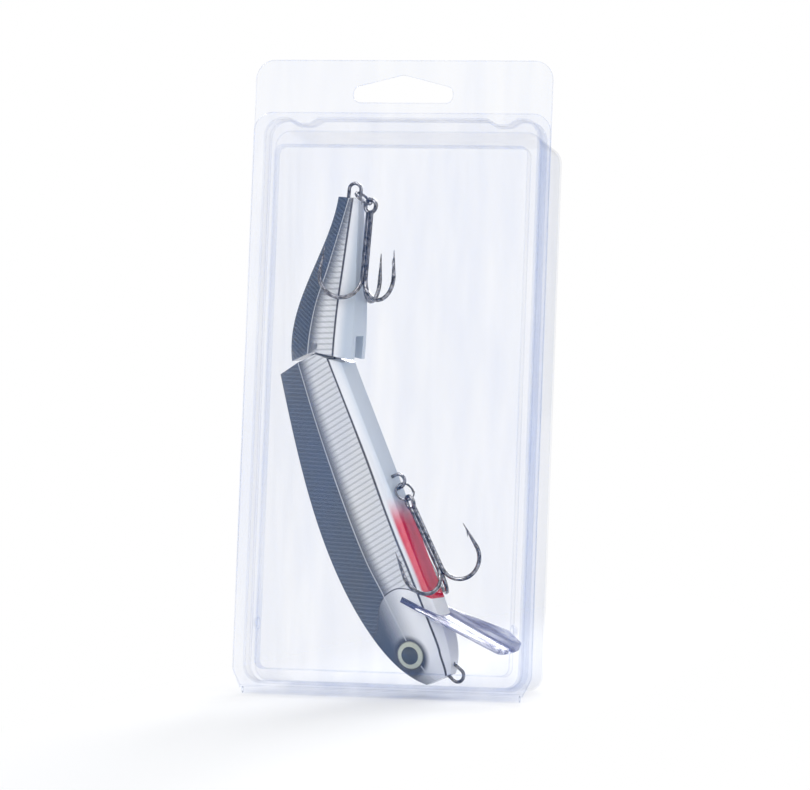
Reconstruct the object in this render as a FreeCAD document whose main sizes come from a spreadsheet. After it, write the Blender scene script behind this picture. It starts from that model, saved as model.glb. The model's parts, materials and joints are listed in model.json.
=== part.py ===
import FreeCAD, Part
import math
import os

import Sketcher
from FreeCAD import Placement, Rotation, Vector

# Clear two-half clamshell pack with a tall hanging header, holding a two-piece diving lure.
# Millimetres, +Z up, front towards -Y. The pack leans back on its hinge bead and its rear edge.

SIZES = [
    ("wall", 0.5, "thickness of the formed sheet"),
    ("fit_gap", 0.12, "play between the lid's plug and the tray's socket"),
    ("pack_width", 95.25, "flange, side to side"),
    ("header_top", 198.0, "top of the hanging header"),
    ("lid_top", 181.5, "top of the lid's flange"),
    ("flange_radius", 6.0, "rounded top corners of both flanges"),
    ("bead_radius", 1.1, "hinge bead along the bottom"),
    ("bead_inset", 3.4, "bead's end to the flange's side"),
    ("hinge_play", 0.1, "hinge bead to the tray's flange"),
    ("corner_cut", 2.6, "width of the cut corner beside the hinge"),
    ("corner_rise", 7.3, "top of the cut corner beside the hinge"),
    ("rim_width", 88.0, "inside of the tray's socket"),
    ("rim_low", 3.6, "bottom of the socket"),
    ("rim_high", 179.6, "top of the socket"),
    ("rim_radius", 5.5, "corners of the socket"),
    ("socket_depth", 8.9, "flange to the tray's inner step"),
    ("plug_depth", 4.7, "flange to the floor of the lid's channel"),
    ("face_width", 81.4, "lid's front panel"),
    ("face_low", 7.6, "bottom of the front panel"),
    ("face_high", 171.5, "top of the front panel"),
    ("face_radius", 3.0, "corners of the front panel"),
    ("step_side", 1.0, "inset of the step at each side"),
    ("step_top", 2.7, "inset of the step at the top"),
    ("step_low", 0.4, "inset of the step at the bottom"),
    ("tray_depth", 44.0, "flange to the back of the tray"),
    ("draft", 1.0, "each side's draft between the step and the back"),
    ("tray_radius", 5.0, "long corners of the tray"),
    ("back_radius", 3.0, "edge of the tray's back"),
    ("dent_place", 31.8, "snap dent's middle from the centre line"),
    ("dent_length", 9.7, "snap dent, end to end"),
    ("dent_ramp", 3.0, "snap dent, each ramp"),
    ("dent_depth", 1.8, "snap dent, how far it is pushed in"),
    ("dimple_height", 21.8, "snap dimple above the hinge"),
    ("dimple_radius", 2.1, "snap dimple"),
    ("dimple_reach", 1.6, "how far the dimple stands out into the channel"),
    ("hole_width", 31.75, "hang hole, end to end"),
    ("hole_low", 184.7, "bottom of the hang hole"),
    ("hole_side", 4.65, "hang hole at its ends"),
    ("hole_peak", 8.6, "hang hole at its peak"),
    ("hole_radius", 2.3, "rounding of the hang hole"),
    ("lure_tilt", 23.45, "degrees, lure's line from upright"),
    ("lure_roll", 15.4, "degrees, belly turned to the front"),
    ("lure_depth", 21.0, "flange to the lure's middle"),
    ("seat_gap", 0.15, "play where the lure leans on the tray"),
    ("body_length", 108.9, "front section, joint end to nose"),
    ("body_width", 14.4, "front section at its widest"),
    ("body_rise", 16.5, "lure's middle line up to its back"),
    ("body_drop", 13.0, "lure's middle line down to its belly"),
    ("relief_start", 6.5, "start of the joint's relief below the middle line"),
    ("relief_angle", 41.2, "degrees, relief of the front section below the joint"),
    ("pin_back", 2.6, "joint pin behind the front section"),
    ("pin_drop", 7.3, "joint pin below the lure's middle line"),
    ("pin_radius", 1.2, "joint pin"),
    ("pin_proud", 0.1, "joint pin's ends, proud of the tail's cheeks"),
    ("pin_play", 0.06, "joint pin in the tongue"),
    ("press_play", 0.02, "play round pieces that are pressed in"),
    ("tongue_width", 4.0, "tongue of the joint"),
    ("tongue_radius", 3.2, "rounded end of the tongue"),
    ("slot_play", 0.35, "tongue to the tail's slot, each side"),
    ("slot_room", 0.8, "end of the tongue to the floor of the slot"),
    ("tail_bend", 28.5, "degrees, tail bent to the belly at rest"),
    ("swing_room", 7.0, "degrees, tail's end clear of the front section"),
    ("tail_lead", 2.0, "tail's end ahead of the joint pin"),
    ("tail_length", 47.0, "joint pin to the tail's far end"),
    ("tail_width", 14.0, "tail section at the joint"),
    ("tail_rise", 10.8, "joint pin up to the tail's back"),
    ("tail_drop", 12.2, "joint pin down to the tail's belly"),
    ("eye_place", 98.7, "eye's middle from the joint end"),
    ("eye_drop", -0.4, "eye's middle below the lure's middle line"),
    ("eye_floor", 4.2, "lure's middle to the floor of the eye's socket"),
    ("eye_radius", 4.7, "eye"),
    ("eye_rim", 0.9, "eye's straight edge"),
    ("eye_bulge", 1.1, "how far the eye's dome rises"),
    ("eye_turn", 9.0, "degrees, eye turned to the nose"),
    ("lip_thick", 1.8, "diving lip"),
    ("lip_bow", 34.0, "radius of the lip's hollow"),
    ("lip_root", 80.0, "lip's root from the joint end"),
    ("lip_root_drop", 1.6, "lip's root below the lure's middle line"),
    ("lip_slope", 43.0, "degrees, lip from the lure's line"),
    ("lip_length", 40.5, "lip, root to tip"),
    ("lip_neck", 13.0, "width of the lip at its root"),
    ("lip_throat", 16.0, "root to where the lip leaves the head"),
    ("lip_throat_width", 16.0, "width of the lip where it leaves the head"),
    ("lip_width", 23.0, "width of the lip at its widest"),
    ("lip_widest", 33.0, "root to the lip's widest place"),
    ("lip_tip_width", 17.0, "width of the lip's end"),
    ("lip_corner", 2.5, "rounded corners of the lip"),
    ("wire", 1.1, "hanger wire"),
    ("hanger_radius", 2.1, "hanger eye, to the middle of the wire"),
    ("hanger_leg", 5.5, "leg of a hanger, from the bend"),
    ("hanger_place", 46.6, "belly hanger from the joint end"),
    ("hanger_drop", 14.7, "belly hanger's eye below the middle line"),
    ("tie_place", 109.9, "line tie from the joint end"),
    ("tie_drop", 9.9, "line tie below the middle line"),
    ("tie_turn", 30.0, "degrees, line tie turned to the belly"),
    ("tail_hanger_reach", 2.5, "tail hanger beyond the tail's far end"),
    ("tail_hanger_drop", 6.6, "tail hanger below the joint pin"),
    ("ring_radius", 3.0, "split ring, to the middle of the wire"),
    ("ring_wire", 0.9, "split ring wire"),
    ("link_gap", 0.1, "play between linked wires"),
    ("belly_pull", 9.0, "degrees, belly ring's hang from the lure's line"),
    ("belly_ring_tilt", 32.0, "degrees, belly ring turned about its hang"),
    ("belly_shank_turn", 4.0, "degrees, belly treble's shank from the lure's line"),
    ("belly_azimuth", -5.0, "degrees, belly treble's first hook from the belly"),
    ("tail_pull", 54.5, "degrees, tail ring's hang from the tail's line"),
    ("shank_lean", 3.3, "degrees, tail treble's shank from upright"),
    ("shank_back", 1.2, "degrees, tail treble's shank towards the tray"),
    ("tail_azimuth", 204.5, "degrees, tail treble's first hook from the right"),
    ("hook_wire", 1.3, "treble hook wire"),
    ("hook_eye", 2.0, "treble eye, to the middle of the wire"),
    ("hook_length", 29.4, "treble, eye to the middle of the bend"),
    ("hook_reach", 14.2, "treble, shank line to point"),
    ("hook_sweep", 186.0, "degrees, treble's bend"),
    ("hook_arm", 8.2, "treble, bend to point"),
    ("hook_offset", 0.68, "treble, shank line to each wire's middle"),
    ("point_radius", 0.12, "treble's point"),
    ("barb_back", 2.6, "point to the root of the barb"),
    ("barb_length", 2.0, "barb"),
    ("barb_angle", 24.0, "degrees, barb from the arm"),
]

# Stations of the front section: share of its length, then shares of rise, drop and half width
# for the back, the upper edge, the flank ridge and the belly.
BODY_STATIONS = [
    (0.00, 0.61, 0.30, 0.01, 0.97, 0.77, 0.96, 1.00, 0.62),
    (0.31, 0.92, 0.34, 0.14, 1.00, 0.79, 0.97, 1.00, 0.62),
    (0.55, 1.00, 0.34, 0.16, 1.00, 0.77, 0.97, 1.00, 0.62),
    (0.72, 0.89, 0.34, 0.06, 0.98, 0.79, 0.94, 1.00, 0.61),
    (0.86, 0.65, 0.31, -0.03, 0.88, 0.78, 0.83, 1.00, 0.55),
    (0.945, 0.37, 0.27, -0.09, 0.69, 0.69, 0.64, 0.89, 0.42),
    (1.00, 0.05, 0.20, -0.18, 0.38, 0.55, 0.35, 0.67, 0.24),
]

# Stations of the tail: share of its length behind the pin, then the same shares.
TAIL_STATIONS = [
    (1.00, -0.14, 0.17, -0.57, 0.41, 0.61, 0.39, 0.75, 0.24),
    (0.55, 0.41, 0.25, -0.20, 0.77, 0.59, 0.76, 0.89, 0.46),
    (0.11, 0.98, 0.31, 0.17, 1.00, 0.56, 0.98, 1.00, 0.61),
    (-0.18, 0.88, 0.31, 0.18, 1.00, 0.57, 0.98, 0.98, 0.61),
]

X_AXIS = Vector(1, 0, 0)
Y_AXIS = Vector(0, 1, 0)
Z_AXIS = Vector(0, 0, 1)
FULL_TURN = 360
HOOKS = 3

# Tests that pick edges by place: share of an edge's run that lies along Y, and how near an edge's
# middle and its ends come to the line or plane they belong to.
MAINLY = 0.8
NEAR = 0.1
ON_PLANE = 0.01


def make_sheet(doc):
    """Write the driving sizes into a spreadsheet, one alias a row."""
    sheet = doc.addObject("Spreadsheet::Sheet", "Sizes")
    for row, (alias, value, note) in enumerate(SIZES, 1):
        sheet.set(f"A{row}", note)
        sheet.set(f"B{row}", str(value))
        sheet.setAlias(f"B{row}", alias)
    doc.recompute()
    return sheet


doc = FreeCAD.newDocument("clamshell_pack")
sheet = make_sheet(doc)


def size(alias):
    """Value of one driving size."""
    return float(getattr(sheet, alias))


def value(expression):
    """Number that an expression on the sheet's sizes gives."""
    return float(sheet.evalExpression(expression))


def new_body(label):
    """Empty PartDesign body with the sub-part's label."""
    body = doc.addObject("PartDesign::Body", label)
    body.Label = label
    return body


def origin_plane(body, role):
    """One of the body's own origin planes."""
    return next(item for item in body.Origin.OriginFeatures if item.Role == role)


def outline(body, name, role, offset, corners):
    """Closed sketch through corners, on an origin plane moved along its normal.

    A corner is a pair of expressions; a third one rounds a square corner.
    """
    sketch = body.newObject("Sketcher::SketchObject", name)
    sketch.AttachmentSupport = [(origin_plane(body, role), "")]
    sketch.MapMode = "FlatFace"
    sketch.setExpression("AttachmentOffset.Base.z", offset)
    ends, arcs = round_corners(corners)
    points = [Vector(value(across), value(up), 0) for across, up in ends]
    for index, (start, end) in enumerate(zip(points, points[1:] + points[:1])):
        if index in arcs:
            corner = Vector(value(arcs[index][0]), value(arcs[index][1]), 0)
            sketch.addGeometry(Part.Arc(start, arc_middle(start, corner, end), end), False)
        else:
            sketch.addGeometry(Part.LineSegment(start, end), False)
    for index in range(len(points)):
        following = (index + 1) % len(points)
        sketch.addConstraint(Sketcher.Constraint("Coincident", index, 2, following, 1))
    for index, (pair, point) in enumerate(zip(ends, points)):
        bind_corner(sketch, index, "DistanceX", pair[0], point.x)
        bind_corner(sketch, index, "DistanceY", pair[1], point.y)
    for index, arc in arcs.items():
        place = sketch.addConstraint(Sketcher.Constraint("Radius", index, value(arc[2])))
        sketch.setExpression(f"Constraints[{place}]", arc[2])
    return sketch


def round_corners(corners):
    """Ends of the outline's pieces, and the rounded corners by the piece that rounds them."""
    ends = []
    arcs = {}
    for index, corner in enumerate(corners):
        if len(corner) == 2:
            ends.append(corner)
            continue
        arcs[len(ends)] = corner
        ends.append(step_towards(corner, corners[index - 1]))
        ends.append(step_towards(corner, corners[(index + 1) % len(corners)]))
    return ends, arcs


def step_towards(corner, neighbour):
    """Point one radius from a square corner, towards a neighbour level with it or above it."""
    across, up, radius = corner
    right = value(neighbour[0]) - value(across)
    rise = value(neighbour[1]) - value(up)
    if abs(right) > abs(rise):
        return f"{across} {'+' if right > 0 else '-'} ({radius})", up
    return across, f"{up} {'+' if rise > 0 else '-'} ({radius})"


def arc_middle(start, corner, end):
    """Middle point of the quarter arc that rounds a square corner."""
    centre = start + end - corner
    return centre + (corner - centre).normalize() * (start - centre).Length


def bind_corner(sketch, index, kind, expression, number):
    """Tie one coordinate of a corner to its expression, or to an axis where it is zero."""
    if expression == "0":
        axis = -2 if kind == "DistanceX" else -1
        sketch.addConstraint(Sketcher.Constraint("PointOnObject", index, 1, axis))
        return
    place = sketch.addConstraint(Sketcher.Constraint(kind, -1, 1, index, 1, number))
    sketch.setExpression(f"Constraints[{place}]", expression)


def add_feature(body, kind, name, sketch, length, backwards):
    """Pad or Pocket of a sketch, with its length bound to an expression."""
    feature = body.newObject(kind, name)
    feature.Profile = sketch
    feature.setExpression("Length", length)
    feature.Reversed = backwards
    doc.recompute()
    return feature


def pad(body, name, sketch, length, backwards=True):
    """Pad towards the back of the pack, or to the front."""
    return add_feature(body, "PartDesign::Pad", name, sketch, length, backwards)


def pocket(body, name, sketch, length, backwards=False):
    """Pocket towards the back of the pack, or to the front."""
    return add_feature(body, "PartDesign::Pocket", name, sketch, length, backwards)


def loft(body, kind, name, sketches, ruled=True):
    """Loft through sketches in order."""
    feature = body.newObject(kind, name)
    feature.Profile = sketches[0]
    feature.Sections = sketches[1:]
    feature.Ruled = ruled
    doc.recompute()
    return feature


def fillet(body, name, chosen, radius):
    """Round the edges of the body's tip that the test picks."""
    tip = body.Tip
    names = [f"Edge{number}" for number, edge in enumerate(tip.Shape.Edges, 1) if chosen(edge)]
    if not names:
        raise ValueError(f"{name} finds no edge")
    feature = body.newObject("PartDesign::Fillet", name)
    feature.Base = (tip, names)
    feature.setExpression("Radius", radius)
    doc.recompute()
    return feature


def runs_back(edge):
    """True for an edge that runs mainly along Y."""
    first, last = edge.Vertexes[0].Point, edge.Vertexes[-1].Point
    reach = last - first
    return reach.Length > 0 and abs(reach.y) > MAINLY * reach.Length


def corner_test(half, low, high, front, back):
    """Test for edges along Y at the corners of a frame, between two depths."""
    def chosen(edge):
        middle = (edge.BoundBox.YMin + edge.BoundBox.YMax) / 2
        centre = edge.BoundBox.Center
        at_side = abs(abs(centre.x) - half) < NEAR
        at_end = min(abs(centre.z - low), abs(centre.z - high)) < NEAR
        return runs_back(edge) and at_side and at_end and front < middle < back
    return chosen


def depth_test(depth):
    """Test for edges that lie in the plane at one depth."""
    def chosen(edge):
        bounds = edge.BoundBox
        return abs(bounds.YMin - depth) < ON_PLANE and abs(bounds.YMax - depth) < ON_PLANE
    return chosen


def frame_corners(half, low, high, radius):
    """Four rounded corners of an upright rectangle about the centre line."""
    return [
        (f"-({half})", low, radius), (half, low, radius),
        (half, high, radius), (f"-({half})", high, radius),
    ]


def flange_corners(low, top):
    """Outline of a flange, with its lower corners cut beside the hinge."""
    half = "Sizes.pack_width / 2"
    foot = "Sizes.pack_width / 2 - Sizes.corner_cut"
    rise = "Sizes.corner_rise"
    return [
        (f"-({foot})", low), (foot, low), (half, rise), (half, top, "Sizes.flange_radius"),
        (f"-({half})", top, "Sizes.flange_radius"), (f"-({half})", rise),
    ]


def rim_corners(grow):
    """Outline of the socket or plug with its two snap dents, grown by an expression."""
    half = f"Sizes.rim_width / 2 + ({grow})"
    low = f"Sizes.rim_low - ({grow})"
    high = f"Sizes.rim_high + ({grow})"
    dented = f"Sizes.rim_high - Sizes.dent_depth + ({grow})"
    radius = f"Sizes.rim_radius + ({grow})"
    ends = [
        ("Sizes.dent_place + Sizes.dent_length / 2", high),
        ("Sizes.dent_place + Sizes.dent_length / 2 - Sizes.dent_ramp", dented),
        ("Sizes.dent_place - Sizes.dent_length / 2 + Sizes.dent_ramp", dented),
        ("Sizes.dent_place - Sizes.dent_length / 2", high),
    ]
    left = [(f"-({across})", up) for across, up in reversed(ends)]
    right_side = [(half, low, radius), (half, high, radius)]
    left_side = [(f"-({half})", high, radius), (f"-({half})", low, radius)]
    return right_side + ends + left + left_side


def add_bead(body):
    """Hinge bead: a tube below the lid's flange, along X."""
    outer = body.newObject("PartDesign::AdditiveCylinder", "BeadOutside")
    inner = body.newObject("PartDesign::SubtractiveCylinder", "BeadInside")
    length = "Sizes.pack_width - 2 * Sizes.bead_inset"
    for part, radius in ((outer, "Sizes.bead_radius"), (inner, "Sizes.bead_radius - Sizes.wall")):
        part.setExpression("Radius", radius)
        part.setExpression("Height", length)
        part.AttachmentSupport = [(origin_plane(body, "YZ_Plane"), "")]
        part.MapMode = "FlatFace"
        part.setExpression("AttachmentOffset.Base.y", "Sizes.bead_radius")
        part.setExpression("AttachmentOffset.Base.z", f"-({length}) / 2")
    doc.recompute()


def tray_half(share, skin):
    """Half width of the tray, from its step (0) to its back (1), a skin's thickness in."""
    return f"Sizes.rim_width / 2 - Sizes.step_side - {share} * Sizes.draft - {skin}"


def cavity_outline(body, name, depth, share, skin):
    """Outline of the tray behind its step, at the step (0) or at the back (1)."""
    low = f"Sizes.rim_low + Sizes.step_low + {skin}"
    high = f"Sizes.rim_high - Sizes.step_top - {share} * Sizes.draft - {skin}"
    half = tray_half(share, skin)
    corners = [(f"-({half})", low), (half, low), (half, high), (f"-({half})", high)]
    return outline(body, name, "XZ_Plane", f"-({depth})", corners)


def tray_block(label, skin):
    """Socket and tray as one block, a skin's thickness inside the sheet's outer face."""
    body = new_body(label)
    back = cavity_outline(body, "Back", f"Sizes.tray_depth - {skin}", 1, skin)
    step = cavity_outline(body, "Step", f"Sizes.socket_depth - {skin}", 0, skin)
    loft(body, "PartDesign::AdditiveLoft", "Tray", [back, step])
    fillet(body, "LongEdges", runs_back, f"Sizes.tray_radius - {skin}")
    end = value(f"Sizes.tray_depth - {skin}")
    fillet(body, "BackEdge", depth_test(end), f"Sizes.back_radius - {skin}")
    rim = outline(body, "Rim", "XZ_Plane", "0", rim_corners(f"Sizes.wall - {skin}"))
    pad(body, "Socket", rim, f"Sizes.socket_depth - {skin}")
    return body


def make_tray():
    """Rear half: flange with the tall header and hang hole, socket, step and deep tray."""
    body = tray_block("tray_outside", "0")
    corners = flange_corners("2 * Sizes.bead_radius + Sizes.hinge_play", "Sizes.header_top")
    flange = outline(body, "FlangeOutline", "XZ_Plane", "0", corners)
    pad(body, "Flange", flange, "Sizes.wall")
    cut_hang_hole(body)
    return subtract("tray", body, [tray_block("tray_inside", "Sizes.wall")])


def cut_hang_hole(body):
    """Cut the hanging hole: rounded ends, and a roof that rises to the middle."""
    half = "Sizes.hole_width / 2"
    low = "Sizes.hole_low"
    side = "Sizes.hole_low + Sizes.hole_side"
    peak = "Sizes.hole_low + Sizes.hole_peak"
    corners = [(f"-({half})", low), (half, low), (half, side), ("0", peak), (f"-({half})", side)]
    sketch = outline(body, "HangHoleOutline", "XZ_Plane", "0", corners)
    pocket(body, "HangHole", sketch, "2 * Sizes.wall")
    ends = corner_test(size("hole_width") / 2, size("hole_low"), value(side), 0, size("wall"))
    fillet(body, "HangHoleEnds", ends, "Sizes.hole_radius")
    top = corner_test(0, value(peak), value(peak), 0, size("wall"))
    fillet(body, "HangHolePeak", top, "Sizes.hole_radius")


def make_lid():
    """Front half: shorter flange, plug channel with its dents and dimples, and front panel."""
    body = new_body("lid")
    front = "Sizes.wall"
    corners = flange_corners("2 * Sizes.bead_radius - Sizes.wall", "Sizes.lid_top")
    flange = outline(body, "FlangeOutline", "XZ_Plane", "0", corners)
    pad(body, "Flange", flange, "Sizes.wall", backwards=False)
    plug = outline(body, "PlugOutline", "XZ_Plane", "0", rim_corners("-Sizes.fit_gap"))
    pad(body, "Plug", plug, "Sizes.plug_depth")
    inner = rim_corners("-Sizes.fit_gap - Sizes.wall")
    pocket(body, "Channel", outline(body, "ChannelOutline", "XZ_Plane", front, inner), "Sizes.plug_depth")
    block = outline(body, "FaceOutline", "XZ_Plane", front, face_corners("0"))
    pad(body, "Face", block, "Sizes.plug_depth + Sizes.wall")
    for name, side in (("DimpleLeft", -1), ("DimpleRight", 1)):
        add_dimple(body, "PartDesign::AdditiveSphere", name, side, "Sizes.dimple_radius")
    inside = outline(body, "FaceInside", "XZ_Plane", "-Sizes.plug_depth", face_corners("Sizes.wall"))
    pocket(body, "FaceVoid", inside, "Sizes.plug_depth", backwards=True)
    for name, side in (("DimpleLeftInside", -1), ("DimpleRightInside", 1)):
        radius = "Sizes.dimple_radius - Sizes.wall"
        add_dimple(body, "PartDesign::SubtractiveSphere", name, side, radius)
    add_bead(body)
    return body


def face_corners(skin):
    """Outline of the front panel, a skin's thickness inside its outer face."""
    return frame_corners(
        f"Sizes.face_width / 2 - {skin}", f"Sizes.face_low + {skin}",
        f"Sizes.face_high - {skin}", f"Sizes.face_radius - {skin}",
    )


def add_dimple(body, kind, name, side, radius):
    """Round snap dimple in the side of the front panel."""
    sphere = body.newObject(kind, name)
    sphere.AttachmentSupport = [(origin_plane(body, "XZ_Plane"), "")]
    sphere.MapMode = "FlatFace"
    sphere.setExpression("Radius", radius)
    middle = "Sizes.face_width / 2 + Sizes.dimple_reach - Sizes.dimple_radius"
    sphere.setExpression("AttachmentOffset.Base.x", f"{side} * ({middle})")
    sphere.setExpression("AttachmentOffset.Base.y", "Sizes.dimple_height")
    sphere.setExpression("AttachmentOffset.Base.z", "-Sizes.plug_depth / 2 + Sizes.wall / 2")
    doc.recompute()


def section_corners(shares, rise, drop, half):
    """Eight corners of one station, from its back round to its belly and up again."""
    back, back_half, edge, edge_half, ridge, ridge_half, belly, belly_half = shares
    near = [
        (f"-({back}) * {rise}", f"{back_half} * {half}"),
        (f"-({edge}) * {rise}", f"{edge_half} * {half}"),
        (f"{ridge} * {drop}", f"{ridge_half} * {half}"),
        (f"{belly} * {drop}", f"{belly_half} * {half}"),
    ]
    far = [(along, f"-({across})") for along, across in reversed(near)]
    return near + far


def faceted_loft(body, stations, place, rise, drop, half):
    """Loft a faceted section through stations placed by an expression of their share."""
    sketches = []
    for number, (share, *shares) in enumerate(stations):
        corners = section_corners(shares, rise, drop, half)
        name = f"Station{number}"
        sketches.append(outline(body, name, "YZ_Plane", place(share), corners))
    return loft(body, "PartDesign::AdditiveLoft", "Facets", sketches, ruled=False)


def through_cut(body, name, corners):
    """Cut a polygon of the section's own XY plane through both its sides."""
    sketch = outline(body, name + "Outline", "XY_Plane", "0", corners)
    feature = body.newObject("PartDesign::Pocket", name)
    feature.Profile = sketch
    feature.SideType = "Symmetric"
    feature.setExpression("Length", "4 * Sizes.body_width")
    doc.recompute()
    return feature


def make_front_core():
    """Front section of the lure before its joint, eyes, lip and wires are fitted."""
    body = new_body("front_core")
    faceted_loft(
        body, BODY_STATIONS, lambda share: f"{share} * Sizes.body_length",
        "Sizes.body_rise", "Sizes.body_drop", "Sizes.body_width / 2",
    )
    run = "2 * Sizes.body_drop"
    below = f"Sizes.relief_start + {run}"
    above = "Sizes.relief_start - Sizes.body_drop"
    slope = "tan(Sizes.relief_angle)"
    through_cut(body, "JointRelief", [
        (f"-Sizes.body_drop * {slope}", above),
        (f"{run} * {slope}", below),
        (f"-Sizes.body_drop * {slope}", below),
    ])
    return body


def make_tail_core():
    """Tail section with its slanted end and the slot for the tongue."""
    body = new_body("tail_core")
    faceted_loft(
        body, TAIL_STATIONS, lambda share: f"-({share}) * Sizes.tail_length",
        "Sizes.tail_rise", "Sizes.tail_drop", "Sizes.tail_width / 2",
    )
    reach = "2 * Sizes.tail_drop"
    upper = "tan(Sizes.tail_bend - Sizes.swing_room)"
    lower = "tan(Sizes.relief_angle - Sizes.tail_bend - Sizes.swing_room)"
    through_cut(body, "SlantedEnd", [
        ("Sizes.tail_lead", "0"),
        (f"Sizes.tail_lead + {reach} * {lower}", reach),
        ("Sizes.tail_length", reach),
        ("Sizes.tail_length", f"-{reach}"),
        (f"Sizes.tail_lead + {reach} * {upper}", f"-{reach}"),
    ])
    return body


def primitive(kind, name, place=Placement(), **sizes):
    """Part primitive whose sizes are expressions on the sheet."""
    item = doc.addObject(kind, name)
    for field, expression in sizes.items():
        item.setExpression(field, str(expression))
    item.Placement = place
    return item


def along(direction, start=Vector()):
    """Placement that turns a primitive's own Z axis along a direction."""
    return Placement(start, Rotation(Z_AXIS, direction))


def join(name, items):
    """Union of several objects."""
    item = doc.addObject("Part::MultiFuse", name)
    item.Shapes = items
    doc.recompute()
    return item


def subtract(name, base, tools):
    """Base with several tools cut out of it."""
    item = doc.addObject("Part::Cut", name)
    item.Base = base
    item.Tool = tools[0] if len(tools) == 1 else join(name + "_tools", tools)
    doc.recompute()
    return item


def hanger_solids(name, place, grow="0"):
    """Bend and two legs of a hanger, each a solid; the legs run along its own -X."""
    wire = f"Sizes.wire / 2 + {grow}"
    solids = [primitive(
        "Part::Torus", name + "_bend", place.multiply(Placement(Vector(), Rotation(Z_AXIS, -90))),
        Radius1="Sizes.hanger_radius", Radius2=wire, Angle3=180,
    )]
    for count, side in enumerate((-1, 1)):
        start = Vector(0, side * size("hanger_radius"), 0)
        solids.append(primitive(
            "Part::Cylinder", f"{name}_leg{count}", place.multiply(along(-X_AXIS, start)),
            Radius=wire, Height="Sizes.hanger_leg",
        ))
    return solids


def section_place(place, drop, turn):
    """Place in a section's own XY plane, turned about its Z axis."""
    return Placement(Vector(place, drop, 0), Rotation(Z_AXIS, turn))


def hanger_places():
    """Places of the two hangers and the line tie, each in its section's frame."""
    return {
        "belly_hanger": section_place(size("hanger_place"), size("hanger_drop"), 90),
        "line_tie": section_place(size("tie_place"), size("tie_drop"), size("tie_turn")),
        "tail_hanger": section_place(
            -size("tail_length") - size("tail_hanger_reach"), size("tail_hanger_drop"), 180,
        ),
    }


def make_hanger(label, place):
    """Bent wire eye with two legs."""
    return join(label, hanger_solids(label, place))


def pin_place():
    """Middle of the joint pin in the front section's frame."""
    return Vector(-size("pin_back"), size("pin_drop"), 0)


def across(name, middle, radius, length):
    """Cylinder along a section's Z axis, centred on a point."""
    start = middle - Z_AXIS * (value(length) / 2)
    return primitive("Part::Cylinder", name, Placement(start, Rotation()), Radius=radius, Height=length)


def make_tongue():
    """Tongue that stands out of the front section round the joint pin."""
    half = value("Sizes.tongue_width / 2")
    corner = pin_place() - Vector(0, size("tongue_radius"), half)
    slab = primitive(
        "Part::Box", "tongue_slab", Placement(corner, Rotation()),
        Length="Sizes.pin_back + Sizes.tongue_radius", Width="2 * Sizes.tongue_radius",
        Height="Sizes.tongue_width",
    )
    end = across("tongue_end", pin_place(), "Sizes.tongue_radius", "Sizes.tongue_width")
    return [slab, end]


def eye_place(side):
    """Middle of an eye's base; its Z axis points outwards, turned a little to the nose."""
    base = Vector(size("eye_place"), size("eye_drop"), side * size("eye_floor"))
    turn = math.radians(size("eye_turn"))
    return along(Vector(math.sin(turn), 0, side * math.cos(turn)), base)


def make_eye(label, side):
    """Eye: a flat disc under a shallow dome."""
    place = eye_place(side)
    disc = primitive(
        "Part::Cylinder", label + "_disc", place, Radius="Sizes.eye_radius", Height="Sizes.eye_rim",
    )
    ball = "(Sizes.eye_radius ^ 2 + Sizes.eye_bulge ^ 2) / (2 * Sizes.eye_bulge)"
    sink = Vector(0, 0, value(f"Sizes.eye_rim + Sizes.eye_bulge - {ball}"))
    dome = primitive(
        "Part::Sphere", label + "_dome", place.multiply(Placement(sink, Rotation())),
        Radius=ball, Angle1=f"asin(({ball} - Sizes.eye_bulge) / ({ball}))", Angle2=90,
    )
    return join(label, [disc, dome])


def lip_place():
    """Lip's frame: X from root to tip, Y towards the belly side, Z across the lure."""
    root = Vector(size("lip_root"), size("lip_root_drop"), 0)
    return Placement(root, Rotation(Z_AXIS, size("lip_slope")))


def tip_test(start):
    """Test for the edges along Y that lie beyond a place on X."""
    def chosen(edge):
        return runs_back(edge) and edge.BoundBox.Center.x > start
    return chosen


def lip_solid(name, grow):
    """Lip's plate: its outline kept from a bowed sheet, grown for the slot that takes it."""
    body = new_body(name + "_outline")
    root = f"-({grow})"
    neck = f"Sizes.lip_neck / 2 + {grow}"
    throat = f"Sizes.lip_throat_width / 2 + {grow}"
    right = [
        (root, neck),
        ("Sizes.lip_throat", throat),
        ("Sizes.lip_widest", "Sizes.lip_width / 2"),
        ("Sizes.lip_length", "Sizes.lip_tip_width / 2"),
    ]
    left = [(place, f"-({half})") for place, half in reversed(right)]
    sketch = outline(body, name + "Shape", "XZ_Plane", "0", right + left)
    blank = body.newObject("PartDesign::Pad", name + "Blank")
    blank.Profile = sketch
    blank.SideType = "Symmetric"
    blank.setExpression("Length", "4 * Sizes.lip_thick + Sizes.lip_width")
    doc.recompute()
    fillet(body, name + "Corners", tip_test(size("lip_throat")), "Sizes.lip_corner")
    sheet_place = along(X_AXIS, Vector(-size("lip_throat"), size("lip_bow"), 0))
    outer = primitive(
        "Part::Cylinder", name + "_outer", sheet_place,
        Radius=f"Sizes.lip_bow + Sizes.lip_thick / 2 + {grow}", Height="2 * Sizes.lip_length",
    )
    inner = primitive(
        "Part::Cylinder", name + "_inner", sheet_place,
        Radius=f"Sizes.lip_bow - Sizes.lip_thick / 2 - {grow}", Height="2 * Sizes.lip_length",
    )
    bowed = subtract(name + "_bowed", outer, [inner])
    reach = size("lip_throat")
    near = primitive(
        "Part::Box", name + "_near", Placement(Vector(-reach, -reach, -size("lip_width")), Rotation()),
        Length="2 * Sizes.lip_length", Width="Sizes.lip_bow", Height="2 * Sizes.lip_width",
    )
    plate = doc.addObject("Part::MultiCommon", name)
    plate.Shapes = [body, bowed, near]
    doc.recompute()
    plate.Placement = lip_place()
    return plate


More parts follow.
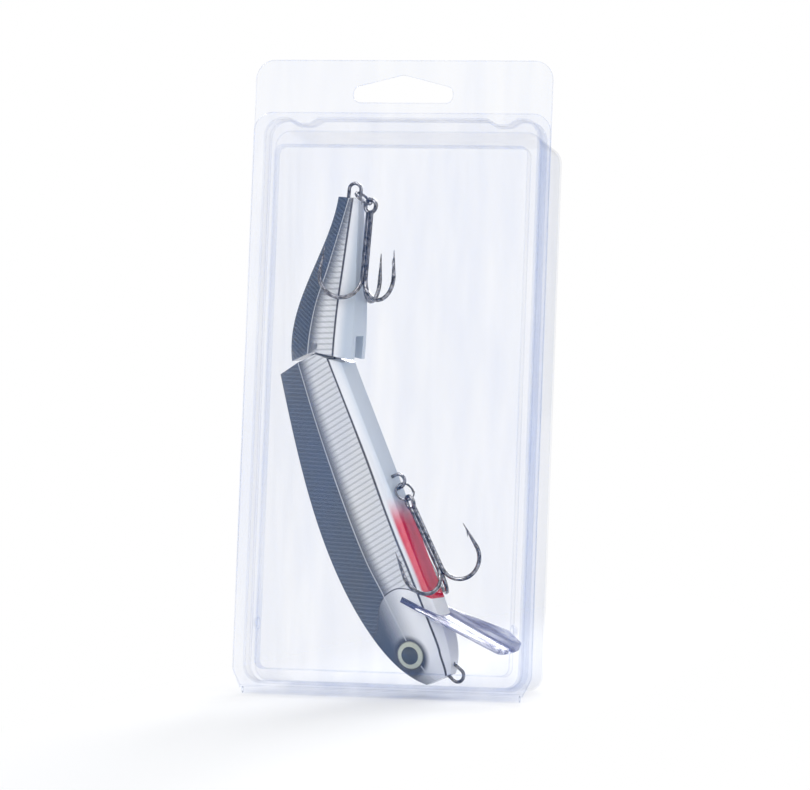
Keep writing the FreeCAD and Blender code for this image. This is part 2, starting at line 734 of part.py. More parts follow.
def make_front_section():
    """Front section: core with its tongue, and seats for pin, eyes, lip and wires."""
    solid = join("front_with_tongue", [make_front_core()] + make_tongue())
    bore = across("tongue_bore", pin_place(), "Sizes.pin_radius + Sizes.pin_play", "Sizes.body_width")
    cuts = [bore, lip_solid("lip_slot", "Sizes.press_play")]
    for name in ("belly_hanger", "line_tie"):
        cuts += hanger_solids(name + "_seat", hanger_places()[name], "Sizes.press_play")
    for side in (-1, 1):
        cuts.append(primitive(
            "Part::Cylinder", f"eye_seat{side + 1}", eye_place(side),
            Radius="Sizes.eye_radius + Sizes.press_play", Height="Sizes.body_width",
        ))
    return subtract("lure_front_section", solid, cuts)


def make_tail_section():
    """Tail section: core with the tongue's slot, the pin's bore and the hanger's seats."""
    slot_place = Placement(Vector(
        -value("Sizes.tongue_radius + Sizes.slot_room"),
        -value("Sizes.tongue_radius + Sizes.slot_room"),
        -value("Sizes.tongue_width / 2 + Sizes.slot_play"),
    ), Rotation())
    slot = primitive(
        "Part::Box", "tongue_slot", slot_place, Length="Sizes.tail_length",
        Width="2 * Sizes.tail_drop", Height="Sizes.tongue_width + 2 * Sizes.slot_play",
    )
    bore = across("pin_bore", Vector(), "Sizes.pin_radius + Sizes.press_play", "2 * Sizes.tail_width")
    seats = hanger_solids("tail_seat", hanger_places()["tail_hanger"], "Sizes.press_play")
    return subtract("lure_tail_section", make_tail_core(), [slot, bore] + seats)


def make_pin():
    """Joint pin through the tail's cheeks and the tongue."""
    length = "Sizes.tail_width + 2 * Sizes.pin_proud"
    return across("joint_pin", Vector(), "Sizes.pin_radius", length)


def make_ring(label):
    """Split ring, closed, about its own Z axis."""
    return primitive(
        "Part::Torus", label, Radius1="Sizes.ring_radius", Radius2="Sizes.ring_wire / 2",
    )


def make_treble(label, azimuth):
    """Treble hook: eye about Z at the origin, shank along X, first hook at the azimuth."""
    solids = [primitive(
        "Part::Torus", label + "_eye", Radius1="Sizes.hook_eye", Radius2="Sizes.hook_wire / 2",
    )]
    for count in range(HOOKS):
        turn = math.radians(azimuth + FULL_TURN * count / HOOKS)
        solids += hook_solids(f"{label}_hook{count}", turn)
    return join(label, solids)


def hook_solids(name, azimuth):
    """Shank wire, bend, arm and barb of one hook."""
    outward = Vector(0, math.cos(azimuth), math.sin(azimuth))
    offset = size("hook_offset")
    bend = (size("hook_reach") - offset) / 2
    turn = math.radians(size("hook_sweep"))
    centre = X_AXIS * (size("hook_length") - bend) + outward * (offset + bend)
    shank = primitive(
        "Part::Cylinder", name + "_shank", along(X_AXIS, X_AXIS * size("hook_eye") + outward * offset),
        Radius="Sizes.hook_wire / 2", Height=size("hook_length") - bend - size("hook_eye"),
    )
    frame = Rotation(-outward, X_AXIS, (-outward).cross(X_AXIS), "XYZ")
    curve = primitive(
        "Part::Torus", name + "_bend", Placement(centre, frame),
        Radius1=bend, Radius2="Sizes.hook_wire / 2", Angle3="Sizes.hook_sweep",
    )
    heading = outward * math.sin(turn) + X_AXIS * math.cos(turn)
    end = centre + (outward * -math.cos(turn) + X_AXIS * math.sin(turn)) * bend
    arm = primitive(
        "Part::Cone", name + "_arm", along(heading, end), Radius1="Sizes.hook_wire / 2",
        Radius2="Sizes.point_radius", Height="Sizes.hook_arm",
    )
    back = math.radians(size("barb_angle"))
    barb_way = X_AXIS * math.cos(back) - outward * math.sin(back)
    root = end + heading * (size("hook_arm") - size("barb_back"))
    barb = primitive(
        "Part::Cone", name + "_barb", along(barb_way, root), Radius1="Sizes.hook_wire / 4",
        Radius2="Sizes.point_radius / 2", Height="Sizes.barb_length",
    )
    return [shank, curve, arm, barb]


def chain_frames(hanger, pull, tilt, shank, first_hook):
    """Frames of the ring and treble that hang from a hanger, all in the section's frame."""
    play = size("link_gap")
    pull_way = Vector(math.cos(math.radians(pull)), math.sin(math.radians(pull)), 0)
    normal = Rotation(pull_way, tilt).multVec(Vector(-pull_way.y, pull_way.x, 0))
    wires = (size("wire") + size("ring_wire")) / 2
    ring_middle = hanger + pull_way * (size("hanger_radius") - wires - play + size("ring_radius"))
    hang_way = (shank - normal * shank.dot(normal)).normalize()
    link = ring_middle + hang_way * size("ring_radius")
    wires = (size("hook_wire") + size("ring_wire")) / 2
    eye_middle = link + hang_way * (size("hook_eye") - wires - play)
    swing = normal.cross(hang_way)
    side = swing.cross(shank)
    azimuth = math.degrees(math.atan2(first_hook.dot(swing), first_hook.dot(side)))
    return {
        "ring": Placement(ring_middle, Rotation(pull_way, normal.cross(pull_way), normal, "XYZ")),
        "treble": Placement(eye_middle, Rotation(shank, side, swing, "XYZ")),
        "ring_pivot": hanger + pull_way * size("hanger_radius"),
        "ring_axis": normal,
        "treble_pivot": link,
        "treble_axis": swing,
        "azimuth": azimuth,
    }


def lure_rotation():
    """Turn of the lure: X to its nose, Y to its belly, Z to its near side."""
    tilt = Rotation(Y_AXIS, 90 - size("lure_tilt"))
    return tilt.multiply(Rotation(X_AXIS, 90 + size("lure_roll")))


def tail_in_front():
    """Tail's frame in the front section's frame, bent at the joint pin."""
    return Placement(pin_place(), Rotation(Z_AXIS, -size("tail_bend")))


def belly_chain():
    """Belly ring and treble in the front section's frame."""
    turn = math.radians(size("belly_shank_turn"))
    shank = Vector(math.cos(turn), math.sin(turn), 0)
    hook = math.radians(size("belly_azimuth"))
    first = Vector(0, math.cos(hook), math.sin(hook))
    hanger = hanger_places()["belly_hanger"].Base
    return chain_frames(hanger, size("belly_pull"), size("belly_ring_tilt"), shank, first)


def tail_chain():
    """Tail ring and treble in the tail's frame; the shank hangs nearly upright."""
    turned = lure_rotation().multiply(tail_in_front().Rotation).inverted()
    lean = math.tan(math.radians(size("shank_lean")))
    back = math.tan(math.radians(size("shank_back")))
    shank = turned.multVec(Vector(-lean, back, -1).normalize())
    hook = math.radians(size("tail_azimuth"))
    first = turned.multVec(Vector(math.cos(hook), math.sin(hook), 0))
    hanger = hanger_places()["tail_hanger"].Base
    return chain_frames(hanger, size("tail_pull"), 0, shank, first)


def lowest(shape, axis):
    """Smallest coordinate of a shape's fine mesh along one axis."""
    return min(getattr(point, axis) for point in shape.tessellate(0.02)[0])


def largest(shape, axis):
    """Largest coordinate of a shape's fine mesh along one axis."""
    return max(getattr(point, axis) for point in shape.tessellate(0.02)[0])


def seat_lure(resting):
    """Place the lure so that it stands on the tray's floor and leans on its left wall."""
    turned = Placement(Vector(), lure_rotation())
    shapes = [item.Shape.transformed(turned.toMatrix()) for item in resting]
    floor = value("Sizes.rim_low + Sizes.step_low + Sizes.wall")
    share = "(Sizes.lure_depth - Sizes.socket_depth) / (Sizes.tray_depth - Sizes.socket_depth)"
    side = value(tray_half(share, "Sizes.wall"))
    return Placement(Vector(
        size("seat_gap") - side - min(lowest(shape, "x") for shape in shapes),
        size("lure_depth"),
        floor + size("seat_gap") - min(lowest(shape, "z") for shape in shapes),
    ), lure_rotation())


def resting_lean():
    """Angle by which the pack leans back, from its hinge bead to its rear lower edge."""
    bead = size("bead_radius")
    corner = size("back_radius")
    back = size("tray_depth") - corner
    rise = value("Sizes.rim_low + Sizes.step_low") + corner - bead
    return math.degrees(math.atan2(rise, back) + math.asin((bead - corner) / math.hypot(back, rise)))


def place_all(groups):
    """Lean the pack back, stand it on the ground and centre its footprint."""
    lean = Placement(Vector(), Rotation(X_AXIS, -resting_lean()))
    shells = [item.Shape.transformed(lean.toMatrix()) for item, place in groups[:2]]
    low = min(lowest(shape, "z") for shape in shells)
    front = min(lowest(shape, "y") for shape in shells)
    rear = max(largest(shape, "y") for shape in shells)
    rest = Placement(Vector(0, -(front + rear) / 2, -low), Rotation()).multiply(lean)
    for item, place in groups:
        item.Placement = rest.multiply(place).multiply(item.Placement)
    doc.recompute()
    return rest


def check(items):
    """Stop if any object failed, or a sub-part isn't a sound solid."""
    for item in doc.Objects:
        if "Invalid" in item.State or "Error" in item.State:
            raise ValueError(f"{item.Name} failed: {item.State}")
    for item in items:
        shape = item.Shape
        if shape.isNull() or not shape.isValid() or len(shape.Solids) != 1:
            raise ValueError(f"{item.Label} is not one sound solid")


tray = make_tray()
lid = make_lid()
front_section = make_front_section()
tail_section = make_tail_section()
pin = make_pin()
lip = lip_solid("diving_lip", "0")
eye_left = make_eye("eye_left", 1)
eye_right = make_eye("eye_right", -1)
line_tie = make_hanger("line_tie", hanger_places()["line_tie"])
belly_hanger = make_hanger("belly_hanger", hanger_places()["belly_hanger"])
tail_hanger = make_hanger("tail_hanger", hanger_places()["tail_hanger"])
belly = belly_chain()
tail = tail_chain()
belly_ring = make_ring("belly_split_ring")
tail_ring = make_ring("tail_split_ring")
belly_treble = make_treble("belly_treble_hook", belly["azimuth"])
tail_treble = make_treble("tail_treble_hook", tail["azimuth"])

own = Placement()
lure = seat_lure([front_section, lip, line_tie])
tail_frame = lure.multiply(tail_in_front())
groups = [(tray, own), (lid, own)]
groups += [(item, lure) for item in (front_section, lip, eye_left, eye_right, line_tie, belly_hanger)]
groups += [(item, tail_frame) for item in (tail_section, pin, tail_hanger)]
groups += [
    (belly_ring, lure.multiply(belly["ring"])),
    (belly_treble, lure.multiply(belly["treble"])),
    (tail_ring, tail_frame.multiply(tail["ring"])),
    (tail_treble, tail_frame.multiply(tail["treble"])),
]
rest = place_all(groups)
nodes = [item for item, place in groups]
check(nodes)

os.makedirs("parts", exist_ok=True)
for item in nodes:
    item.Shape.exportStep(f"parts/{item.Label}.step")
    print(f"{item.Label}: {item.Shape.Volume:.1f} mm3")
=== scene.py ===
"""Looks of a clear clamshell pack that holds a jointed diving lure.

Every piece is in metres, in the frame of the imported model. Lengths on the pack and the lure are
given in millimetres where a name or a docstring says so.
"""

import json
import logging
import math
from dataclasses import dataclass
from enum import Enum

import bmesh
import bpy
from mathutils import Matrix, Vector

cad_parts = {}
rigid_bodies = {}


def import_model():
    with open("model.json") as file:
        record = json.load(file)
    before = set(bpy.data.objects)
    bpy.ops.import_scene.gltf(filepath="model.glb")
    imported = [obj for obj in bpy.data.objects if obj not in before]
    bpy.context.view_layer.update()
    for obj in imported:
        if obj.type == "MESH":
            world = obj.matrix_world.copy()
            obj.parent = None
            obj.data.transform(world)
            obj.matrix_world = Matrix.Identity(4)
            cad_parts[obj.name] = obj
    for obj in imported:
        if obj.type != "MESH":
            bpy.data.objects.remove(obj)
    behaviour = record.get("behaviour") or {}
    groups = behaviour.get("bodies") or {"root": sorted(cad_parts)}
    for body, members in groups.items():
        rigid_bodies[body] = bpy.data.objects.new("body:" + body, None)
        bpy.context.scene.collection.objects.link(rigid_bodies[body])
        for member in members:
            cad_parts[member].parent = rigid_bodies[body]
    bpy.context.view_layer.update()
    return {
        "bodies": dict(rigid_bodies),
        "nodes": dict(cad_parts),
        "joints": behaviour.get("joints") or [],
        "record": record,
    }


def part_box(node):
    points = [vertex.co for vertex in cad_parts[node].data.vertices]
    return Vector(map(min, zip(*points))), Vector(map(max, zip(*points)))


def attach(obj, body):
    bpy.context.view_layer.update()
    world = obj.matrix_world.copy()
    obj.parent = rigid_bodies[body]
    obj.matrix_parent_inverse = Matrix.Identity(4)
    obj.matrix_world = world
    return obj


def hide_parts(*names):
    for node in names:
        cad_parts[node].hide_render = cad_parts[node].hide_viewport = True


LOG = logging.getLogger("clamshell")
MM = 0.001
CLEAR_LAYERS = 64
WHITE = (1.0, 1.0, 1.0, 1.0)
EVEN_WEIGHT = 0.5
MIX_COLOURS = (6, 7)
MIX_RESULT = 2

Colour = tuple[float, float, float]
Triple = tuple[float, float, float]
Span = tuple[float, float]
Points = tuple[Span, ...]
Socket = bpy.types.NodeSocket
Feed = float | tuple | Socket


def srgb(red: int, green: int, blue: int) -> Colour:
    """Linear colour of an sRGB colour given from 0 to 255.

    Args:
        red: Red, from 0 to 255.
        green: Green, from 0 to 255.
        blue: Blue, from 0 to 255.

    Returns:
        The colour as Blender's nodes take it.
    """
    def linear(level: float) -> float:
        """Linear value of one sRGB level from 0 to 1."""
        return level / 12.92 if level <= 0.04045 else ((level + 0.055) / 1.055) ** 2.4
    return (linear(red / 255), linear(green / 255), linear(blue / 255))


class Along(Enum):
    """Coordinate of a lure section that a value follows."""

    LENGTH = "X"
    DEPTH = "Y"
    ACROSS = "Z"


@dataclass(frozen=True)
class PackPlace:
    """How the pack stands.

    Attributes:
        lean: Degrees by which the pack leans back.
        back_step: Row Y of the hinge line, in mm.
        lift: Row Z of the hinge line's foot, in mm.
    """

    lean: float = 5.5598
    back_step: float = -29.7866
    lift: float = 0.0052

    def matrix(self) -> Matrix:
        """Pack frame, in mm, to the row frame, in metres."""
        move = Matrix.Translation((0.0, self.back_step * MM, self.lift * MM))
        turn = Matrix.Rotation(-math.radians(self.lean), 4, "X")
        return move @ turn @ Matrix.Scale(MM, 4)


@dataclass(frozen=True)
class PhotoCamera:
    """Camera of the photograph, in the upright pack's frame.

    Attributes:
        azimuth: Degrees, round from the front to the right.
        elevation: Degrees above the horizon.
        roll: Degrees, picture turned about the line of sight.
        distance: Camera to the target, in mm.
        focal_px: Focal length in pixels of the photograph.
        target: Point that the camera looks at, in mm.
        width_px: Width of the photograph in pixels.
        sensor_mm: Width of the camera's sensor.
        near: Nearest distance that shows, in metres.
        far: Farthest distance that shows, in metres.
    """

    azimuth: float = 14.257
    elevation: float = -3.893
    roll: float = 2.179
    distance: float = 1513.4
    focal_px: float = 4894.0
    target: Triple = (4.296, 0.0, 93.676)
    width_px: float = 810.0
    sensor_mm: float = 36.0
    near: float = 0.05
    far: float = 20.0

    def build(self, place: PackPlace) -> bpy.types.Object:
        """Make the camera.

        Args:
            place: How the pack stands.

        Returns:
            The camera's object.
        """
        turn, rise, lean = (math.radians(v) for v in (self.azimuth, self.elevation, self.roll))
        towards = Vector((
            math.sin(turn) * math.cos(rise), -math.cos(turn) * math.cos(rise), math.sin(rise),
        ))
        right = Vector((math.cos(turn), math.sin(turn), 0.0))
        upward = towards.cross(right)
        side = right * math.cos(lean) + upward * math.sin(lean)
        top = upward * math.cos(lean) - right * math.sin(lean)
        rows = Matrix((side, top, towards)).transposed().to_4x4()
        pose = place.matrix().to_3x3().normalized().to_4x4() @ rows
        pose.translation = place.matrix() @ (Vector(self.target) + towards * self.distance)
        data = bpy.data.cameras.new("photo_camera")
        data.sensor_width = self.sensor_mm
        data.lens = self.focal_px / self.width_px * self.sensor_mm
        data.clip_start, data.clip_end = self.near, self.far
        camera = bpy.data.objects.new("photo_camera", data)
        bpy.context.scene.collection.objects.link(camera)
        camera.matrix_world = pose
        bpy.context.scene.camera = camera
        return camera


class Graph:
    """Short calls for the nodes of one material."""

    def __init__(self, name: str) -> None:
        """Start an empty material with a Principled shader.

        Args:
            name: The material's name.
        """
        self.material = bpy.data.materials.new(name)
        self.material.use_nodes = True
        self.tree = self.material.node_tree
        self.tree.nodes.clear()
        self.shader = self.node("ShaderNodeBsdfPrincipled")
        self.output = self.node("ShaderNodeOutputMaterial")
        self.link(self.shader.outputs[0], self.output.inputs["Surface"])

    def node(self, kind: str) -> bpy.types.Node:
        """New node of a kind."""
        return self.tree.nodes.new(kind)

    def link(self, source: Socket, target: Socket) -> None:
        """Join two sockets."""
        self.tree.links.new(source, target)

    def feed(self, socket: Socket, value: Feed) -> None:
        """Set a socket to a value, or link it to another socket.

        Args:
            socket: Socket that is set.
            value: Number, colour or socket that it takes.
        """
        if isinstance(value, Socket):
            self.link(value, socket)
        else:
            socket.default_value = value

    def math(self, operation: str, *values: Feed) -> Socket:
        """Result of a Math node.

        Args:
            operation: The node's operation.
            values: What it works on, one for each of its inputs.

        Returns:
            The result's socket.
        """
        item = self.node("ShaderNodeMath")
        item.operation = operation
        for socket, value in zip(item.inputs, values):
            self.feed(socket, value)
        return item.outputs[0]

    def ramp(self, value: Socket, low: float, high: float) -> Socket:
        """Smooth step of a value.

        Args:
            value: Socket that the step reads.
            low: Value at which the step is 0.
            high: Value at which the step is 1; it may lie below low.

        Returns:
            Socket of the step.
        """
        item = self.node("ShaderNodeMapRange")
        item.interpolation_type = "SMOOTHSTEP"
        self.feed(item.inputs["Value"], value)
        item.inputs["From Min"].default_value = min(low, high)
        item.inputs["From Max"].default_value = max(low, high)
        item.inputs["To Min"].default_value = 0.0 if low < high else 1.0
        item.inputs["To Max"].default_value = 1.0 if low < high else 0.0
        return item.outputs["Result"]

    def line(self, value: Socket, shape: Span) -> Socket:
        """Line where a value is near 0, of a half width and a soft edge in mm."""
        half, soft = shape
        return self.ramp(self.math("ABSOLUTE", value), half + soft, half)

    def apart(self, first: Socket, second: Socket) -> Socket:
        """Distance of a point from the middle, by its two coordinates."""
        squares = [self.math("POWER", self.math("ABSOLUTE", v), 2.0) for v in (first, second)]
        return self.math("SQRT", self.math("ADD", *squares))

    def steep(self, power: float) -> Socket:
        """How far a surface is seen edge on.

        Args:
            power: How fast it falls off from the edge.

        Returns:
            Socket from 0 face on to 1 edge on.
        """
        weight = self.node("ShaderNodeLayerWeight")
        weight.inputs["Blend"].default_value = EVEN_WEIGHT
        return self.math("POWER", weight.outputs["Facing"], power)

    def curve(self, value: Socket, points: Points) -> Socket:
        """Smooth curve of a value through a few points.

        Args:
            value: Socket that the curve reads.
            points: Pairs of the value and the result.

        Returns:
            The result's socket.
        """
        lows = [min(p[axis] for p in points) for axis in (0, 1)]
        spans = [max(p[axis] for p in points) - lows[axis] for axis in (0, 1)]
        share = self.math("DIVIDE", self.math("SUBTRACT", value, lows[0]), spans[0])
        item = self.node("ShaderNodeFloatCurve")
        line = item.mapping.curves[0]
        ordered = sorted(((a - lows[0]) / spans[0], (b - lows[1]) / spans[1]) for a, b in points)
        line.points[0].location, line.points[1].location = ordered[0], ordered[-1]
        for spot in ordered[1:-1]:
            line.points.new(*spot)
        item.mapping.update()
        self.link(share, item.inputs["Value"])
        scaled = self.math("MULTIPLY", item.outputs["Value"], spans[1])
        return self.math("ADD", scaled, lows[1])

    def blend(self, share: Socket, first: Feed, second: Feed) -> Socket:
        """Colour between two colours.

        Args:
            share: Share of the second colour.
            first: Colour or socket.
            second: Colour or socket.

        Returns:
            The colour's socket.
        """
        item = self.node("ShaderNodeMix")
        item.data_type = "RGBA"
        self.feed(item.inputs["Factor"], share)
        for place, colour in zip(MIX_COLOURS, (first, second)):
            if isinstance(colour, tuple):
                colour = (*colour, 1.0)
            self.feed(item.inputs[place], colour)
        return item.outputs[MIX_RESULT]

    def noise(self, vector: Socket, scale: float = 1.0, detail: float = 2.0) -> Socket:
        """Value of a noise texture.

        Args:
            vector: Coordinates that it reads.
            scale: How fine it is.
            detail: How many finer layers it has.

        Returns:
            Socket from 0 to 1.
        """
        item = self.node("ShaderNodeTexNoise")
        item.inputs["Scale"].default_value = scale
        item.inputs["Detail"].default_value = detail
        self.link(vector, item.inputs["Vector"])
        return item.outputs["Fac"]

    def objects_own(self) -> Socket:
        """The piece's Object coordinates."""
        return self.node("ShaderNodeTexCoord").outputs["Object"]

    def placed(self, frame: Matrix, stretch: Triple = (1, 1, 1)) -> Socket:
        """Object coordinates in another frame.

        Args:
            frame: The frame, in metres.
            stretch: Length of one unit along each of its axes, in mm.

        Returns:
            The coordinates' socket.
        """
        item = self.node("ShaderNodeMapping")
        item.vector_type = "TEXTURE"
        item.inputs["Location"].default_value = frame.translation
        item.inputs["Rotation"].default_value = frame.to_3x3().normalized().to_euler()
        item.inputs["Scale"].default_value = Vector(stretch) * MM
        self.link(self.objects_own(), item.inputs["Vector"])
        return item.outputs["Vector"]

    def everywhere(self, stretch: Triple = (1, 1, 1)) -> Socket:
        """Object coordinates in the row frame, one unit being stretch in mm."""
        return self.placed(Matrix.Identity(4), stretch)

    def split(self, vector: Socket) -> dict[Along, Socket]:
        """The three coordinates of a vector.

        Args:
            vector: The vector's socket.

        Returns:
            Socket of each coordinate.
        """
        item = self.node("ShaderNodeSeparateXYZ")
        self.link(vector, item.inputs[0])
        return {axis: item.outputs[axis.value] for axis in Along}

    def bump(self, height: Socket, depth: float, strength: float) -> None:
        """Bump on the shader's normal.

        Args:
            height: Socket of the height, from 0 to 1.
            depth: Depth of the bump, in mm.
            strength: Share of the bump that shows.
        """
        item = self.node("ShaderNodeBump")
        item.inputs["Distance"].default_value = depth * MM
        item.inputs["Strength"].default_value = strength
        self.link(height, item.inputs["Height"])
        self.link(item.outputs["Normal"], self.shader.inputs["Normal"])

    def set(self, **values: Feed) -> None:
        """Set or link the shader's sockets.

        Args:
            values: Value of each socket; a name's low line stands for a space.
        """
        for name, value in values.items():
            if isinstance(value, tuple):
                value = (*value, 1.0)
            self.feed(self.shader.inputs[name.replace("_", " ")], value)


@dataclass(frozen=True)
class ClearSheet:
    """Thin clear formed sheet: nearly unseen face on, darker along its edges.

    Attributes:
        tint: Colour of the sheet face on.
        rim: Colour of a surface seen edge on.
        turned: Steepness at which the rim's colour is full.
        face: Cover of one surface seen face on.
        edge: Further cover of a surface seen edge on.
        sharpness: How fast the cover falls off from the edge.
        shade: Further cover of a surface in the shadow that it throws.
        haze: Size of the haze's soft streaks, in mm.
        waves: Depth of the streaks, in mm, and the share that shows.
        roughness: Roughness of the sheet.
        index: Index of refraction.
        gloss: Specular level; low, so that the white room doesn't bleach the edges.
    """

    tint: Colour = srgb(40, 132, 230)
    rim: Colour = srgb(70, 88, 134)
    turned: float = 0.35
    face: float = 0.034
    edge: float = 0.26
    sharpness: float = 8.0
    shade: float = 0.05
    haze: Triple = (7, 7, 50)
    waves: Span = (0.2, 0.12)
    roughness: float = 0.07
    index: float = 1.57
    gloss: float = 0.10

    def build(self, name: str) -> bpy.types.Material:
        """Make the sheet's finish.

        Args:
            name: The material's name.

        Returns:
            The material.
        """
        graph = Graph(name)
        steep = graph.steep(self.sharpness)
        cover = graph.math("MULTIPLY", steep, self.edge)
        haze = graph.noise(graph.everywhere(self.haze))
        cover = graph.math("ADD", cover, graph.math("MULTIPLY", haze, 2 * self.face))
        shading = graph.node("ShaderNodeLightPath").outputs["Is Shadow Ray"]
        cover = graph.math("ADD", cover, graph.math("MULTIPLY", shading, self.shade))
        graph.set(
            Base_Color=graph.blend(graph.ramp(steep, 0.0, self.turned), self.tint, self.rim),
            Roughness=self.roughness, IOR=self.index, Specular_IOR_Level=self.gloss, Alpha=cover,
        )
        graph.bump(haze, *self.waves)
        return graph.material


@dataclass(frozen=True)
class LipPlastic:
    """Clear lip with a violet cast and painted refraction streaks along it.

    Attributes:
        frame: The lip's frame.
        tint: Colour of a painted refraction streak.
        pale: Colour between the streaks.
        streak: Size of a painted refraction streak along the lip's axes, in mm.
        refraction_streak_edge: Noise at which a painted refraction streak starts and is full.
        least: Cover between the streaks.
        refraction_streak_cover: Further cover in a painted refraction streak.
        edge: Further cover seen edge on.
        sharpness: How fast the edge's cover falls off.
        roughness: Roughness of the lip.
        index: Index of refraction.
        gloss: Specular level.
    """

    frame: Matrix
    tint: Colour = srgb(74, 80, 134)
    pale: Colour = srgb(170, 178, 216)
    streak: Triple = (22, 2.2, 2.6)
    refraction_streak_edge: Span = (0.40, 0.58)
    least: float = 0.26
    refraction_streak_cover: float = 0.38
    edge: float = 0.3
    sharpness: float = 2.2
    roughness: float = 0.06
    index: float = 1.49
    gloss: float = 0.06

    def build(self, name: str) -> bpy.types.Material:
        """Make the lip's finish.

        Args:
            name: The material's name.

        Returns:
            The material.
        """
        graph = Graph(name)
        # painted refraction: dark violet streaks stretched along the lip stand in for light bent
        # inside it
        streaks = graph.noise(graph.placed(self.frame, self.streak), detail=3.0)
        dark = graph.ramp(streaks, *self.refraction_streak_edge)
        cover = graph.math("MULTIPLY_ADD", dark, self.refraction_streak_cover, self.least)
        steep = graph.steep(self.sharpness)
        cover = graph.math("ADD", cover, graph.math("MULTIPLY", steep, self.edge))
        cover.node.use_clamp = True
        graph.set(
            Base_Color=graph.blend(dark, self.pale, self.tint), Alpha=cover,
            Roughness=self.roughness, IOR=self.index, Specular_IOR_Level=self.gloss,
        )
        return graph.material


@dataclass(frozen=True)
class DarkNickel:
    """Polished dark nickel of hooks, rings and wires.

    Attributes:
        colour: Colour of the bright places.
        shade: Colour of the dark places.
        cloud: How fine the dark places are, per mm.
        cloud_edge: Noise at which a bright place starts and is full.
        roughness: Roughness of the metal.
    """

    colour: Colour = srgb(164, 163, 165)
    shade: Colour = srgb(84, 83, 86)
    cloud: float = 0.9
    cloud_edge: Span = (0.35, 0.65)
    roughness: float = 0.12

    def build(self, name: str) -> bpy.types.Material:
        """Make the wire's finish.

        Args:
            name: The material's name.

        Returns:
            The material.
        """
        graph = Graph(name)
        cloud = graph.noise(graph.everywhere(), self.cloud, 3.0)
        bright = graph.ramp(cloud, *self.cloud_edge)
        graph.set(
            Base_Color=graph.blend(bright, self.shade, self.colour),
            Metallic=1.0, Roughness=self.roughness,
        )
        return graph.material


@dataclass(frozen=True)
class Grooves:
    """Fine parallel grooves of a lure section.

    Attributes:
        along: Share of the length in the grooves' spacing.
        down: Share of the depth in the grooves' spacing.
        pitch: Groove to groove, in mm.
        floor: Level of the wave at which the land between two grooves is full.
    """

    along: float
    down: float
    pitch: float
    floor: float = -0.1

    def draw(self, graph: Graph, length: Socket, depth: Socket) -> Socket:
        """Draw the grooves.

        Args:
            graph: The material's graph.
            length: Socket of the place along the section.
            depth: Socket of the place down the section.

        Returns:
            Socket that runs from 0 in a groove to 1 between two.
        """
        first = graph.math("MULTIPLY", length, self.along * math.tau / self.pitch)
        second = graph.math("MULTIPLY", depth, self.down * math.tau / self.pitch)
        wave = graph.math("SINE", graph.math("ADD", first, second))
        return graph.ramp(wave, -1.0, self.floor)


